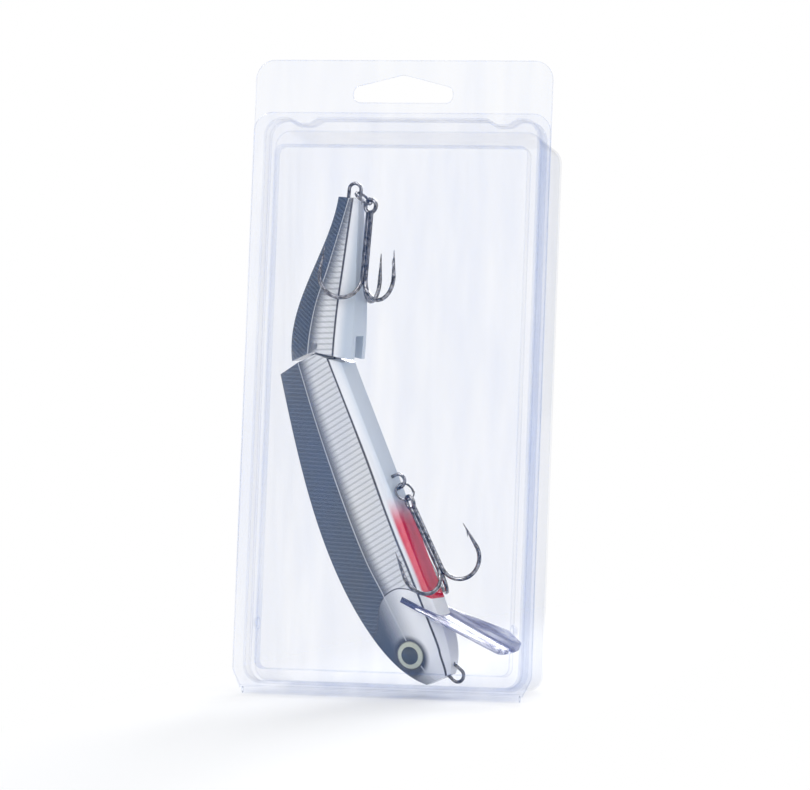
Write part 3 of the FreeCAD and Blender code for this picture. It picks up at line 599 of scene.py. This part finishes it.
@dataclass(frozen=True)
class LurePaint:
    """Paint of one section of the lure. Places and widths are in mm in the section's frame.

    Attributes:
        frame: The section's frame.
        seam: Depth of the seam between back and flank, along the length.
        ridge: Depth of the flank's ridge, along the length.
        head: True for the section with the head and the red throat.
        ribs: Grooves of the back.
        fine: Grooves of the flank.
        rib_light: Share of the light colour in a rib's groove.
        hatch_dark: Share of the hatch's colour in a groove of the flank.
        groove_depth: Depth of the grooves, and the share that shows.
        groove_end: Depth below the ridge at which the grooves end and are full.
        seam_soft: Depths about the seam between which the back turns to flank.
        ridge_soft: Depths about the ridge between which the flank turns to belly.
        seam_highlight_line: Half width and soft edge of the painted highlight along the small step
            at the seam.
        ridge_line: Half width and soft edge of the line at the ridge.
        flank_fade: Depth below the seam at which the flank is light.
        belly_fade: Depths below the ridge between which the painted highlight beside it turns to
            the belly's blue-grey.
        throat_start: Lengths between which the red starts.
        throat_side: Depths below the ridge between which the red starts.
        gill: Length of the gill line, down the depth.
        gill_soft: Lengths about the gill line between which the head starts.
        gill_line: Half width and soft edge of the gill line.
        gill_end: Depths between which the gill line ends.
        brow_fade: Depths between which the head's back turns silver.
        jaw_fade: Depths between which the head's silver turns light.
        eye_shadow: Middle of the shadow round the eye.
        shadow_reach: Distances from it between which the shadow fades in.
        roughness: Roughness of the paint.
        coat: Weight of the clear coat.
        coat_roughness: Roughness of the clear coat.
    """

    frame: Matrix
    seam: Points
    ridge: Points
    head: bool

    back_colour: Colour = srgb(60, 73, 90)
    back_light: Colour = srgb(88, 101, 117)
    flank: Colour = srgb(232, 233, 234)
    flank_shade: Colour = srgb(92, 98, 108)
    hatch: Colour = srgb(120, 122, 126)
    line: Colour = srgb(70, 70, 78)
    # belly_white_and_ridge_highlight: white of the head's underside paint, and also the painted
    # highlight beside the ridge
    belly_white_and_ridge_highlight: Colour = srgb(250, 251, 252)
    belly_shade: Colour = srgb(204, 214, 224)
    red: Colour = srgb(226, 8, 40)
    # silver: the head's silver paint, and also the colour of the painted highlight along the seam
    silver: Colour = srgb(198, 200, 203)
    shadow: Colour = srgb(66, 72, 84)

    ribs: Grooves = Grooves(0.884, -0.398, 1.22)
    fine: Grooves = Grooves(0.96, 0.112, 1.66)
    rib_light: float = 0.85
    hatch_dark: float = 0.42
    groove_depth: Span = (0.12, 0.35)
    groove_end: Span = (0.4, 0.0)
    seam_soft: Span = (-0.12, 0.12)
    ridge_soft: Span = (-0.1, 0.15)
    seam_highlight_line: Span = (0.10, 0.16)
    ridge_line: Span = (0.20, 0.22)
    flank_fade: float = 4.6
    belly_fade: Span = (0.6, 3.4)
    throat_start: Span = (50.0, 61.0)
    throat_side: Span = (0.8, 1.7)
    gill: Points = (
        (-12.0, 88.5), (-9.3, 87.0), (-7.1, 84.2), (-1.8, 79.4), (3.2, 78.2), (6.1, 79.0),
        (9.6, 81.6),
    )
    gill_soft: Span = (-0.1, 0.1)
    gill_line: Span = (0.1, 0.16)
    gill_end: Span = (10.6, 10.0)
    brow_fade: Span = (-7.5, 3.0)
    jaw_fade: Span = (0.2, 6.5)
    eye_shadow: Span = (99.3, -1.0)
    shadow_reach: Span = (7.4, 5.2)
    roughness: float = 0.24
    coat: float = 0.7
    coat_roughness: float = 0.06

    def build(self, name: str) -> bpy.types.Material:
        """Make the section's finish.

        Args:
            name: The material's name.

        Returns:
            The material.
        """
        graph = Graph(name)
        axes = graph.split(graph.placed(self.frame))
        length, depth = axes[Along.LENGTH], axes[Along.DEPTH]
        below_seam = graph.math("SUBTRACT", depth, graph.curve(length, self.seam))
        below_ridge = graph.math("SUBTRACT", depth, graph.curve(length, self.ridge))
        ribs = self.ribs.draw(graph, length, depth)
        fine = self.fine.draw(graph, length, depth)
        body = self.back(graph, ribs)
        flank = self.side(graph, fine, below_seam)
        body = graph.blend(graph.ramp(below_seam, *self.seam_soft), body, flank)
        # painted highlight in white beside the ridge, then the blue-grey belly
        belly = self.underside(graph, below_ridge)
        body = graph.blend(graph.ramp(below_ridge, *self.ridge_soft), body, belly)
        relief = graph.math("ADD", ribs, fine)
        if self.head:
            body = self.throat(graph, body, length, below_ridge)
            body, smooth = self.cheek(graph, body, length, depth)
            relief = graph.math("MULTIPLY", relief, graph.math("SUBTRACT", 1.0, smooth))
        # painted highlight: thin silver line along the small step at the seam
        body = graph.blend(graph.line(below_seam, self.seam_highlight_line), body, self.silver)
        body = graph.blend(graph.line(below_ridge, self.ridge_line), body, self.line)
        relief = graph.math("MULTIPLY", relief, graph.ramp(below_ridge, *self.groove_end))
        graph.set(
            Base_Color=body, Roughness=self.roughness,
            Coat_Weight=self.coat, Coat_Roughness=self.coat_roughness,
        )
        graph.bump(relief, *self.groove_depth)
        return graph.material

    def back(self, graph: Graph, ribs: Socket) -> Socket:
        """Slate back with fine ribs."""
        share = graph.math("MULTIPLY", graph.math("SUBTRACT", 1.0, ribs), self.rib_light)
        return graph.blend(share, self.back_colour, self.back_light)

    def side(self, graph: Graph, fine: Socket, below: Socket) -> Socket:
        """Silver flank: dark below the seam, fading to light, under a diagonal hatch.

        Args:
            graph: The material's graph.
            fine: Socket of the flank's grooves.
            below: Socket of the depth below the seam.

        Returns:
            The colour's socket.
        """
        fade = graph.ramp(below, 0.0, self.flank_fade)
        colour = graph.blend(fade, self.flank_shade, self.flank)
        share = graph.math("MULTIPLY", graph.math("SUBTRACT", 1.0, fine), self.hatch_dark)
        return graph.blend(share, colour, self.hatch)

    def underside(self, graph: Graph, below: Socket) -> Socket:
        """Painted highlight in white beside the ridge, turning to blue-grey at the belly."""
        return graph.blend(graph.ramp(below, *self.belly_fade), self.belly_white_and_ridge_highlight, self.belly_shade)

    def throat(self, graph: Graph, colour: Socket, length: Socket, below: Socket) -> Socket:
        """Red throat, fading in behind the belly hanger.

        Args:
            graph: The material's graph.
            colour: Socket of the paint so far.
            length: Socket of the place along the section.
            below: Socket of the depth below the ridge.

        Returns:
            The colour's socket.
        """
        start = graph.ramp(length, *self.throat_start)
        share = graph.math("MULTIPLY", start, graph.ramp(below, *self.throat_side))
        return graph.blend(share, colour, self.red)

    def cheek(self, graph: Graph, colour: Socket, length: Socket,
              depth: Socket) -> tuple[Socket, Socket]:
        """Smooth head in front of a thin gill line, with a shadow round the eye.

        Args:
            graph: The material's graph.
            colour: Socket of the paint so far.
            length: Socket of the place along the section.
            depth: Socket of the place down the section.

        Returns:
            The colour, and the share of the head.
        """
        ahead = graph.math("SUBTRACT", length, graph.curve(depth, self.gill))
        share = graph.ramp(ahead, *self.gill_soft)
        tone = graph.blend(graph.ramp(depth, *self.brow_fade), self.back_colour, self.silver)
        tone = graph.blend(graph.ramp(depth, *self.jaw_fade), tone, self.belly_white_and_ridge_highlight)
        offsets = [
            graph.math("SUBTRACT", v, spot) for v, spot in zip((length, depth), self.eye_shadow)
        ]
        away = graph.apart(*offsets)
        tone = graph.blend(graph.ramp(away, *self.shadow_reach), tone, self.shadow)
        colour = graph.blend(share, colour, tone)
        above = graph.ramp(depth, *self.gill_end)
        line = graph.math("MULTIPLY", graph.line(ahead, self.gill_line), above)
        return graph.blend(line, colour, self.line), share


@dataclass(frozen=True)
class EyeFinish:
    """Printed eye: cream-green iris and dark pupil under a clear dome. Radii are in mm.

    Attributes:
        frame: The eye's frame.
        iris: Colour of the iris.
        edge: Colour of the ring round the iris.
        pupil: Colour of the pupil.
        pupil_edge: Radii between which the pupil ends.
        iris_edge: Radii between which the iris ends.
        mottle: How fine the eye's darker specks are, per mm.
        mottled: Share of the edge's colour in them.
        roughness: Roughness of the print.
        coat_roughness: Roughness of the dome.
    """

    frame: Matrix
    iris: Colour = srgb(214, 219, 198)
    edge: Colour = srgb(58, 60, 58)
    pupil: Colour = srgb(50, 64, 76)
    pupil_edge: Span = (2.75, 2.95)
    iris_edge: Span = (4.0, 4.5)
    mottle: float = 0.8
    mottled: float = 0.25
    roughness: float = 0.12
    coat_roughness: float = 0.02

    def build(self, name: str) -> bpy.types.Material:
        """Make the finish of one eye.

        Args:
            name: The material's name.

        Returns:
            The material.
        """
        graph = Graph(name)
        axes = graph.split(graph.placed(self.frame))
        away = graph.apart(axes[Along.LENGTH], axes[Along.DEPTH])
        colour = graph.blend(graph.ramp(away, *self.pupil_edge), self.pupil, self.iris)
        colour = graph.blend(graph.ramp(away, *self.iris_edge), colour, self.edge)
        specks = graph.noise(graph.placed(self.frame), self.mottle)
        colour = graph.blend(graph.math("MULTIPLY", specks, self.mottled), colour, self.edge)
        graph.set(
            Base_Color=colour, Roughness=self.roughness,
            Coat_Weight=1.0, Coat_Roughness=self.coat_roughness,
        )
        return graph.material


@dataclass(frozen=True)
class SteelPin:
    """Plain steel of the joint's pin.

    Attributes:
        colour: Colour of the steel.
        grain: How fine the grain is, per mm.
        smooth: Least roughness.
        rough: Further roughness of the grain.
    """

    colour: Colour = srgb(150, 152, 156)
    grain: float = 2.0
    smooth: float = 0.25
    rough: float = 0.2

    def build(self, name: str) -> bpy.types.Material:
        """Make the pin's finish.

        Args:
            name: The material's name.

        Returns:
            The material.
        """
        graph = Graph(name)
        grain = graph.noise(graph.everywhere(), self.grain, 4.0)
        rough = graph.math("MULTIPLY_ADD", grain, self.rough, self.smooth)
        graph.set(Base_Color=self.colour, Metallic=1.0, Roughness=rough)
        return graph.material


@dataclass(frozen=True)
class EdgeLines:
    """Fine lines just inside a sheet's bends and cut edges, in the sheet's own finish. They are not
    part of the sheet: they stand in for the dark lines that refraction draws along its bends and
    cut edges.

    Attributes:
        radius: Half width of a line, in mm.
        depth: Line's middle below the edge, in mm.
        sides: Sides of a line.
    """

    radius: float = 0.13
    depth: float = 0.20
    sides: int = 4

    def draw(self, work: bmesh.types.BMesh, limit: float) -> None:
        """Add a line along each sharp edge.

        Args:
            work: The sheet's mesh.
            limit: Angle in radians past which an edge is sharp.
        """
        # rods that are not part of the sheet, standing in for the dark refraction lines at its
        # edges
        runs = []
        for edge in work.edges:
            if edge.is_manifold and edge.calc_face_angle(0.0) > limit:
                inward = -(edge.link_faces[0].normal + edge.link_faces[1].normal).normalized()
                start, end = (vert.co + inward * self.depth * MM for vert in edge.verts)
                runs.append((start, end))
        for start, end in runs:
            place = (end - start).to_track_quat("Z", "Y").to_matrix().to_4x4()
            place.translation = (start + end) / 2
            bmesh.ops.create_cone(
                work, cap_ends=True, segments=self.sides, radius1=self.radius * MM,
                radius2=self.radius * MM, depth=(end - start).length, matrix=place,
            )


@dataclass
class Skin:
    """A smooth copy of a CAD node, with softened edges and its own finish.

    Attributes:
        node: The node that the copy stands for.
        body: The body that it rides on.
        slot: The record's material slot; not used.
        sharp: Degrees past which an edge stays sharp or is softened.
        soften: Width of the softened edges, in mm; 0 leaves them sharp.
        segments: Steps across a softened edge.
        weld: Distance in metres within which vertices are merged.
        flat: Degrees up to which neighbouring faces are made one.
        lines: Fine lines inside the sharp edges, or None.
    """

    node: str
    body: str
    slot: str
    sharp: float = 30.0
    soften: float = 0.0
    segments: int = 2
    weld: float = 1e-6
    flat: float = 0.5
    lines: EdgeLines | None = None

    def build(self, frame: dict, material: bpy.types.Material) -> bpy.types.Object:
        """Make the copy and hide the node.

        Args:
            material: The piece's finish.

        Returns:
            The piece's object.
        """
        mesh = frame["nodes"][self.node].data.copy()
        mesh.name = self.node + "_skin"
        work = bmesh.new()
        work.from_mesh(mesh)
        bmesh.ops.remove_doubles(work, verts=work.verts, dist=self.weld)
        bmesh.ops.dissolve_limit(
            work, angle_limit=math.radians(self.flat), verts=work.verts, edges=work.edges,
        )
        bmesh.ops.recalc_face_normals(work, faces=work.faces)
        limit = math.radians(self.sharp)
        if self.soften:
            edges = [e for e in work.edges if e.is_manifold and e.calc_face_angle(0.0) > limit]
            bmesh.ops.bevel(
                work, geom=edges, offset=self.soften * MM, offset_type="OFFSET", affect="EDGES",
                segments=self.segments, profile=0.5, clamp_overlap=True, material=-1,
            )
        for face in work.faces:
            face.smooth = True
        for edge in work.edges:
            edge.smooth = not (edge.is_manifold and edge.calc_face_angle(0.0) > limit)
        if self.lines is not None:
            self.lines.draw(work, limit)
        work.to_mesh(mesh)
        work.free()
        mesh.materials.clear()
        mesh.materials.append(material)
        piece = bpy.data.objects.new(self.node + "_skin", mesh)
        bpy.context.scene.collection.objects.link(piece)
        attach(piece, self.body)
        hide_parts(self.node)
        LOG.info("%s: %d faces", piece.name, len(mesh.polygons))
        return piece


@dataclass
class SplitRing:
    """Split ring: a flat coil of two turns of wire.

    Attributes:
        node: The closed ring that the coil stands for.
        body: The body that it rides on.
        axis: The ring's own axis.
        radius: Ring's middle line, in mm.
        wire: Radius of the wire, in mm.
        turns: Turns of the coil.
        steps: Steps of a turn.
        sides: Sides of the wire.
        weld: Distance in metres within which vertices are merged.
    """

    node: str
    body: str
    axis: Vector
    radius: float = 3.0
    wire: float = 0.22
    turns: int = 2
    steps: int = 72
    sides: int = 12
    weld: float = 1e-7

    def build(self, material: bpy.types.Material) -> bpy.types.Object:
        """Wind the coil in the ring's place.

        Args:
            material: The wire's finish.

        Returns:
            The piece's object.
        """
        low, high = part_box(self.node)
        work = bmesh.new()
        rise = 2 * self.wire * MM
        start = Matrix.Translation((self.radius * MM, 0.0, -rise))
        made = bmesh.ops.create_circle(
            work, segments=self.sides, radius=self.wire * MM, cap_ends=True,
            matrix=start @ Matrix.Rotation(math.pi / 2, 4, "X"),
        )
        faces = list({face for vert in made["verts"] for face in vert.link_faces})
        count = self.turns * self.steps
        bmesh.ops.spin(
            work, geom=faces + made["verts"], cent=(0, 0, 0), axis=(0, 0, 1),
            dvec=(0, 0, self.turns * rise / count), angle=self.turns * math.tau, steps=count,
        )
        bmesh.ops.remove_doubles(work, verts=work.verts, dist=self.weld)
        bmesh.ops.recalc_face_normals(work, faces=work.faces)
        turn = self.axis.to_track_quat("Z", "Y").to_matrix().to_4x4()
        turn.translation = (low + high) / 2
        bmesh.ops.transform(work, matrix=turn, verts=work.verts)
        for face in work.faces:
            face.smooth = len(face.verts) == 4
        mesh = bpy.data.meshes.new(self.node + "_coil")
        work.to_mesh(mesh)
        work.free()
        mesh.materials.append(material)
        piece = bpy.data.objects.new(self.node + "_coil", mesh)
        bpy.context.scene.collection.objects.link(piece)
        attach(piece, self.body)
        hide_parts(self.node)
        LOG.info("%s: %d faces", piece.name, len(mesh.polygons))
        return piece


@dataclass(frozen=True)
class LureFrames:
    """Frames of the lure's sections, eyes and lip in the row frame.

    Attributes:
        joint: Middle of the joint pin, in metres.
        place: How the pack stands.
        tilt: Degrees, the lure's line from upright.
        roll: Degrees, belly turned to the front.
        bend: Degrees, tail bent to the belly.
        pin: The joint pin in the front section's frame, in mm.
        eye_spot: Middle of the left eye's socket in that frame, in mm.
        eye_turn: Degrees, an eye turned to the nose.
        lip_root: Root of the lip in that frame, in mm.
        lip_slope: Degrees, lip from the lure's line.
    """

    joint: Vector
    place: PackPlace
    tilt: float = 23.45
    roll: float = 15.4
    bend: float = 28.5
    pin: Triple = (-2.6, 7.3, 0.0)
    eye_spot: Triple = (98.7, -0.4, 4.2)
    eye_turn: float = 9.0
    lip_root: Triple = (80.0, 1.6, 0.0)
    lip_slope: float = 43.0

    def front(self) -> Matrix:
        """Frame of the front section."""
        turn = Matrix.Rotation(-math.radians(self.place.lean), 4, "X")
        turn = turn @ Matrix.Rotation(math.radians(90 - self.tilt), 4, "Y")
        turn = turn @ Matrix.Rotation(math.radians(90 + self.roll), 4, "X")
        turn.translation = self.joint - turn.to_3x3() @ (Vector(self.pin) * MM)
        return turn

    def tail(self) -> Matrix:
        """Frame of the tail section."""
        turn = self.front() @ Matrix.Rotation(-math.radians(self.bend), 4, "Z")
        turn.translation = self.joint
        return turn

    def eye(self, side: int) -> Matrix:
        """Frame of an eye: its Z axis points out of the head.

        Args:
            side: 1 for the left eye, -1 for the right one.

        Returns:
            The frame.
        """
        length, depth, out = self.eye_spot
        turn = math.radians(self.eye_turn)
        outward = Vector((math.sin(turn), 0.0, side * math.cos(turn)))
        own = outward.to_track_quat("Z", "Y").to_matrix().to_4x4()
        own.translation = Vector((length, depth, side * out)) * MM
        return self.front() @ own

    def lip(self) -> Matrix:
        """Frame of the lip: X from its root to its tip."""
        own = Matrix.Rotation(math.radians(self.lip_slope), 4, "Z")
        own.translation = Vector(self.lip_root) * MM
        return self.front() @ own


@dataclass(frozen=True)
class Softbox:
    """Rectangular lamp.

    Attributes:
        name: The lamp's name.
        place: Where it hangs, in metres.
        width: Width in metres.
        height: Height in metres.
        power: Watts.
    """

    name: str
    place: Triple
    width: float
    height: float
    power: float

    def build(self, aim: Vector) -> None:
        """Hang the lamp.

        Args:
            aim: Point that it faces, in metres.
        """
        data = bpy.data.lights.new(self.name, "AREA")
        data.shape = "RECTANGLE"
        data.size, data.size_y, data.energy = self.width, self.height, self.power
        lamp = bpy.data.objects.new(self.name, data)
        bpy.context.scene.collection.objects.link(lamp)
        lamp.location = self.place
        sight = aim - Vector(self.place)
        lamp.rotation_euler = sight.to_track_quat("-Z", "Y").to_euler()


@dataclass
class Studio:
    """Pale floor, white backdrop and soft light. Lengths are in metres.

    Attributes:
        floor_tint: Colour of the floor.
        floor_roughness: Roughness of the floor.
        span: Width of the floor.
        shade_width: Half width of the floor's shaded part.
        shade_depth: Half depth of the floor's shaded part.
        shade_shift: How far that part lies in front of the pack, as a share of its half depth.
        shade_fade: Shares of the half width at which the floor starts to fade and is white.
        room_light: Strength of the world where it only lights.
        eye_level: Mirrored world at eye level; below 0 it is dimmer than room_light.
        room_edge: Rise of a mirrored ray at which that part ends and the white is full.
        aim: Point that the lamps face.
        lamps: The lamps.
    """

    floor_tint: Colour = srgb(246, 247, 249)
    floor_roughness: float = 0.7
    span: float = 6.0
    shade_width: float = 0.075
    shade_depth: float = 0.55
    shade_shift: float = 0.1375
    shade_fade: Span = (0.3, 1.0)
    room_light: float = 0.42
    eye_level: float = -0.45
    room_edge: Span = (0.12, 0.5)
    aim: Triple = (0.0, 0.0, 0.1)
    lamps: tuple[Softbox, ...] = (
        Softbox("key_softbox", (-0.55, -0.75, 0.75), 0.7, 0.5, 4.6),
        Softbox("fill_softbox", (0.75, -0.55, 0.45), 0.5, 0.7, 1.9),
        Softbox("top_softbox", (0.05, 0.10, 0.85), 0.8, 0.6, 2.0),
        Softbox("back_softbox", (0.0, 1.3, 0.55), 0.5, 0.3, 9.0),
    )

    def build(self) -> None:
        """Make the floor, the lamps and the world."""
        self.floor()
        for lamp in self.lamps:
            lamp.build(Vector(self.aim))
        self.world()

    def floor(self) -> None:
        """Flat floor that fades into the white backdrop."""
        work = bmesh.new()
        bmesh.ops.create_grid(work, x_segments=1, y_segments=1, size=self.span / 2)
        mesh = bpy.data.meshes.new("floor")
        work.to_mesh(mesh)
        work.free()
        mesh.materials.append(self.paper())
        sheet = bpy.data.objects.new("floor", mesh)
        bpy.context.scene.collection.objects.link(sheet)

    def paper(self) -> bpy.types.Material:
        """Paper of the floor: shaded near the pack, plain white farther out."""
        graph = Graph("floor_paper")
        graph.set(Base_Color=self.floor_tint, Roughness=self.floor_roughness)
        paths = graph.node("ShaderNodeLightPath")
        reach = graph.node("ShaderNodeVectorMath")
        reach.operation = "MULTIPLY_ADD"
        graph.link(graph.objects_own(), reach.inputs[0])
        reach.inputs[1].default_value = (1 / self.shade_width, 1 / self.shade_depth, 0.0)
        reach.inputs[2].default_value = (0.0, self.shade_shift, 0.0)
        far = graph.node("ShaderNodeVectorMath")
        far.operation = "LENGTH"
        graph.link(reach.outputs["Vector"], far.inputs[0])
        fade = graph.ramp(far.outputs["Value"], *self.shade_fade)
        white = graph.node("ShaderNodeEmission")
        white.inputs["Color"].default_value = WHITE
        mix = graph.node("ShaderNodeMixShader")
        seen = graph.math("MAXIMUM", paths.outputs["Is Camera Ray"], paths.outputs["Is Glossy Ray"])
        seen = graph.math("MAXIMUM", seen, paths.outputs["Is Transmission Ray"])
        graph.link(graph.math("MULTIPLY", fade, seen), mix.inputs[0])
        graph.link(graph.shader.outputs[0], mix.inputs[1])
        graph.link(white.outputs[0], mix.inputs[2])
        graph.link(mix.outputs[0], graph.output.inputs["Surface"])
        return graph.material

    def world(self) -> None:
        """White where it is seen, softer where it lights."""
        world = bpy.data.worlds.new("studio_world")
        world.use_nodes = True
        bpy.context.scene.world = world
        tree = world.node_tree
        back = tree.nodes["Background"]
        paths = tree.nodes.new("ShaderNodeLightPath")
        first = tree.nodes.new("ShaderNodeMath")
        first.operation = "MAXIMUM"
        second = tree.nodes.new("ShaderNodeMath")
        second.operation = "MAXIMUM"
        level = tree.nodes.new("ShaderNodeMapRange")
        level.inputs["To Min"].default_value = self.room_light
        level.inputs["To Max"].default_value = 1.0
        tree.links.new(paths.outputs["Is Camera Ray"], first.inputs[0])
        tree.links.new(self.mirrored_room(tree), first.inputs[1])
        tree.links.new(first.outputs[0], second.inputs[0])
        tree.links.new(paths.outputs["Is Transmission Ray"], second.inputs[1])
        tree.links.new(second.outputs[0], level.inputs["Value"])
        tree.links.new(level.outputs["Result"], back.inputs["Strength"])
        back.inputs["Color"].default_value = WHITE

    def mirrored_room(self, tree: bpy.types.NodeTree) -> Socket:
        """Room as polished pieces mirror it: white overhead and below, dimmer at eye level.

        Args:
            tree: The world's nodes.

        Returns:
            Socket from 0 (as the room lights) to 1 (white).
        """
        heading = tree.nodes.new("ShaderNodeTexCoord")
        parts = tree.nodes.new("ShaderNodeSeparateXYZ")
        tree.links.new(heading.outputs["Generated"], parts.inputs[0])
        rise = tree.nodes.new("ShaderNodeMath")
        rise.operation = "ABSOLUTE"
        tree.links.new(parts.outputs["Z"], rise.inputs[0])
        room = tree.nodes.new("ShaderNodeMapRange")
        room.interpolation_type = "SMOOTHSTEP"
        low, high = self.room_edge
        room.inputs["From Min"].default_value = low
        room.inputs["From Max"].default_value = high
        room.inputs["To Min"].default_value = self.eye_level
        tree.links.new(rise.outputs[0], room.inputs["Value"])
        paths = tree.nodes.new("ShaderNodeLightPath")
        mirrored = tree.nodes.new("ShaderNodeMath")
        mirrored.operation = "MULTIPLY"
        tree.links.new(room.outputs["Result"], mirrored.inputs[0])
        tree.links.new(paths.outputs["Is Glossy Ray"], mirrored.inputs[1])
        return mirrored.outputs[0]


@dataclass
class ClamshellPack:
    """The two clear halves of the pack.

    Attributes:
        sharp: Degrees past which a bend of the sheet is sharp.
        flat: Degrees up to which neighbouring faces are made one.
    """

    frame: dict
    sharp: float = 35.0
    flat: float = 0.1

    def build(self) -> None:
        """Dress both halves."""
        sheet = ClearSheet().build("clear_sheet")
        for node, body in (("tray", "tray"), ("lid", "lid")):
            skin = Skin(
                node, body, "clear_sheet", sharp=self.sharp, flat=self.flat, lines=EdgeLines(),
            )
            skin.build(self.frame, sheet)


@dataclass
class JointedLure:
    """The lure: two painted sections, lip, eyes, wires, rings and trebles.

    Attributes:
        frames: Frames of the lure's sections, eyes and lip.
        front_seam: Depth of the front section's seam along its length, in mm.
        front_ridge: Depth of the front section's ridge along its length, in mm.
        tail_seam: Depth of the tail's seam along its length, in mm.
        tail_ridge: Depth of the tail's ridge along its length, in mm.
    """

    frame: dict
    frames: LureFrames
    front_seam: Points = (
        (0, -0.2), (34, -2.3), (60, -2.6), (78, -1.0), (94, 0.5), (103, 1.5), (109, 3.0),
    )
    front_ridge: Points = (
        (0, 10.0), (34, 10.3), (60, 10.0), (78, 10.3), (94, 10.1), (103, 9.0), (109, 7.2),
    )
    tail_seam: Points = ((-47, 6.2), (-26, 2.2), (-5, -1.8), (8.5, -1.9))
    tail_ridge: Points = ((-47, 7.4), (-26, 7.2), (-5, 6.8), (8.5, 7.0))

    def build(self) -> None:
        """Dress every piece of the lure."""
        self.sections()
        self.face()
        self.metal()

    def sections(self) -> None:
        """Painted front and tail."""
        front = LurePaint(self.frames.front(), self.front_seam, self.front_ridge, True)
        tail = LurePaint(self.frames.tail(), self.tail_seam, self.tail_ridge, False)
        for node, body, paint in (
            ("lure_front_section", "tray", front), ("lure_tail_section", "tail", tail),
        ):
            skin = Skin(node, body, "lure_paint", sharp=18.0, soften=0.35)
            skin.build(self.frame, paint.build(node + "_paint"))

    def face(self) -> None:
        """Lip and eyes."""
        lip = LipPlastic(self.frames.lip()).build("clear_lip")
        Skin("diving_lip", "tray", "clear_lip", soften=0.4).build(self.frame, lip)
        for node, side in (("eye_left", 1), ("eye_right", -1)):
            finish = EyeFinish(self.frames.eye(side)).build(node + "_finish")
            Skin(node, "tray", "eye", sharp=25.0, soften=0.15).build(self.frame, finish)

    def metal(self) -> None:
        """Hangers, line tie, pin, split rings and trebles."""
        nickel = DarkNickel().build("dark_nickel")
        for node, body in (
            ("line_tie", "tray"), ("belly_hanger", "tray"), ("tail_hanger", "tail"),
            ("belly_treble_hook", "belly_treble"), ("tail_treble_hook", "tail_treble"),
        ):
            Skin(node, body, "dark_nickel", sharp=50.0, flat=0.0).build(self.frame, nickel)
        pin = SteelPin().build("pin_steel")
        Skin("joint_pin", "tail", "pin_steel", soften=0.2).build(self.frame, pin)
        axes = {joint["name"]: Vector(joint["axis"]) for joint in self.frame["joints"]}
        for node, body, joint in (
            ("belly_split_ring", "belly_ring", "belly_ring_swing"),
            ("tail_split_ring", "tail_ring", "tail_ring_swing"),
        ):
            SplitRing(node, body, axes[joint]).build(nickel)


def main() -> None:
    """Build the scene."""
    logging.basicConfig(level=logging.INFO, format="%(message)s")
    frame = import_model()
    bpy.context.scene.view_settings.view_transform = "Standard"
    bpy.context.scene.cycles.transparent_max_bounces = CLEAR_LAYERS
    place = PackPlace()
    PhotoCamera().build(place)
    swing = next(joint for joint in frame["joints"] if joint["name"] == "tail_swing")
    frames = LureFrames(Vector(swing["pos_m"]), place)
    ClamshellPack(frame).build()
    JointedLure(frame, frames).build()
    Studio().build()
    LOG.info("sizes written")


if __name__ == "__main__":
    main()
